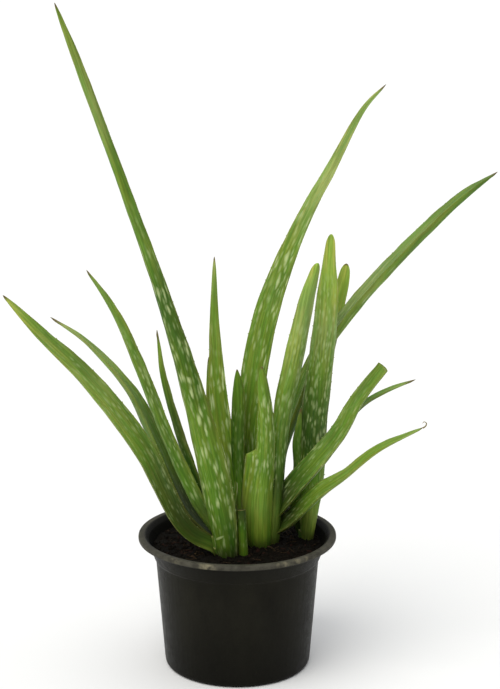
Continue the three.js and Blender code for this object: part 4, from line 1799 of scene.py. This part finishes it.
    def right_leaves(self) -> list[Leaf]:
        """The leaves of the right crown."""
        return [
            Leaf("leaf_broad_right", (
                (43, 5.5, 79, 8), (46, 10, 113, 14.5), (46.5, 13, 144, 16.5),
                (51, 17, 185.5, 15.5), (54.5, 21, 221.5, 13.5), (55.5, 25, 245, 8),
                (56.5, 28, 261, 4.5)), (-0.1, 1, 0), 0.26, 0.18, 6, self.right,
                LeafFinish("leaf", (
                    (0.0, Tone.FRESH), (0.07, Tone.FRESH), (0.18, Tone.FERN), (0.32, Tone.SHADE),
                    (0.44, Tone.DEEP), (0.56, Tone.LEAF), (0.69, Tone.SAGE), (0.81, Tone.LIME),
                    (0.92, Tone.GLOW)),
                    Spots(0.45, 0.6, 2.2, 8, 0.15, 0.92, 0.5), 0.07, dry_tip=0, lean=0.12), 16),
            Leaf("leaf_blunt_back", (
                (43.5, 15, 86, 5.5), (48, 28, 118, 6), (53.5, 38, 170, 6.5), (60.5, 44, 206, 8),
                (65, 47, 228, 7.5), (67, 49, 239, 4.5)), (-0.2, -1, 0), 0.3, 0.16, 5, self.right,
                LeafFinish("leaf_bright", (
                    (0.0, Tone.DEEP), (0.5, Tone.LEAF), (0.7, Tone.LIME), (0.85, Tone.GLOW),
                    (1.0, Tone.GLOW)),
                    Spots(0.3, 0.4, 2.4, 8, 0.2, 0.9, 0.25), 0.1, dry_tip=1), 17),
            Leaf("leaf_thread_right", (
                (45.5, 12, 86, 4.5), (52, 21, 120.5, 5), (63.5, 24, 139.5, 5), (75, 24, 155, 4.5),
                (90.5, 24, 165, 4), (108.5, 24, 172, 1.2)), (-0.5, -0.3, 0.8), 0.5, 0.1, 8,
                self.right,
                LeafFinish("leaf_grey", (
                    (0.0, Tone.SHADE), (0.5, Tone.DEEP), (0.72, Tone.DEEP), (0.82, Tone.FERN),
                    (1.0, Tone.PALE)),
                    Spots(0.2, 0.3, 2.2, 8, 0.2, 0.8, 0.1), 0.14, dry_tip=6), 18),
            Leaf("leaf_sliver_right", (
                (37.6, 12, 86, 9.5), (34.8, 13, 101, 11), (36.8, 14, 118, 7.5),
                (36, 14, 136, 6.5), (38.5, 13, 157, 1.5)), (0.6, 0.8, 0), 0.34, 0.14, 7,
                self.right,
                LeafFinish("leaf_bright", (
                    (0.0, Tone.SHADE), (0.5, Tone.MOSS), (0.68, Tone.FERN), (0.82, Tone.FERN),
                    (1.0, Tone.FRESH)),
                    Spots(0.2, 0.3, 2.2, 7, 0.2, 0.9, 0.2), 0.06), 19),
        ]

    def build(self) -> list[bpy.types.Object]:
        """Make the crowns and the leaves."""
        parts = [*self.crowns(), *self.left_leaves(), *self.centre_leaves(), *self.right_leaves()]
        return [part.build() for part in parts]


@dataclass(frozen=True)
class SoftLight:
    """Even light from one side, as a wide soft box far away gives it.

    Attributes:
        name: its name.
        source: where it comes from, as a direction from the plant.
        spread: how wide it looks from the plant, in degrees.
        strength: its strength, in watts a square metre.
        colour: its colour.
    """

    name: str
    source: tuple[float, float, float]
    spread: float
    strength: float
    colour: Colour = (1.0, 1.0, 1.0)

    def hang(self) -> None:
        """Put the light in the scene."""
        lamp = bpy.data.lights.new(self.name, "SUN")
        lamp.angle = math.radians(self.spread)
        lamp.energy = self.strength
        lamp.color = self.colour
        holder = place_object(self.name, lamp)
        holder.location = self.source
        face_along(holder, -Vector(self.source))


@dataclass(frozen=True)
class Studio:
    """A pale floor, soft light and the camera."""

    eye: tuple[float, float, float] = (7.7, -1036.8, 447.4)
    target: tuple[float, float, float] = (7.7, 0.0, 199.6)
    lens: float = 94.05
    sky: Colour = (0.96, 0.98, 1.0)
    sky_strength: float = 0.5
    floor_side: float = 400.0
    floor_tone: float = 0.88
    lights: tuple[SoftLight, ...] = (
        SoftLight("key", (-0.8, -1.0, 1.5), 55.0, 1.9, (1.0, 0.98, 0.93)),
        SoftLight("top", (0.3, 0.4, 1.6), 90.0, 0.9),
    )

    def build(self) -> None:
        """Set up the floor, the light and the camera."""
        scene = bpy.context.scene
        scene.view_settings.view_transform = "Standard"
        world = bpy.data.worlds.new("studio")
        world.use_nodes = True
        sky = world.node_tree.nodes["Background"]
        sky.inputs["Color"].default_value = (*self.sky, 1.0)
        sky.inputs["Strength"].default_value = self.sky_strength
        scene.world = world
        for light in self.lights:
            light.hang()
        self._floor()
        self._camera()

    def _floor(self) -> None:
        """Lay the floor."""
        half = self.floor_side / 2 / MM
        surface = Surface()
        surface.add([(-half, -half, 0), (half, -half, 0), (half, half, 0), (-half, half, 0)],
                    [(0, 1, 2, 3)])
        mesh = surface.mesh("floor")
        recipe = Recipe("floor")
        recipe.shader.inputs["Base Color"].default_value = (*[self.floor_tone] * 3, 1.0)
        recipe.shader.inputs["Roughness"].default_value = 1.0
        recipe.shader.inputs["Specular IOR Level"].default_value = 0.0
        mesh.materials.append(recipe.material)
        place_object("floor", mesh)

    def _camera(self) -> None:
        """Set up the camera."""
        lens = bpy.data.cameras.new("camera")
        lens.lens = self.lens
        lens.clip_start = 0.01
        lens.clip_end = 1000.0
        holder = place_object("camera", lens)
        eye, target = Vector(self.eye) * MM, Vector(self.target) * MM
        holder.location = eye
        face_along(holder, target - eye)
        bpy.context.scene.camera = holder


def main() -> None:
    """Build the pot, the soil, the plant and the studio in order."""
    logging.basicConfig(level=logging.INFO, format="%(name)s: %(message)s")
    Studio().build()
    Pot().build()
    Soil().build()
    Plant().build()
    bpy.context.view_layer.update()


if __name__ == "__main__":
    main()
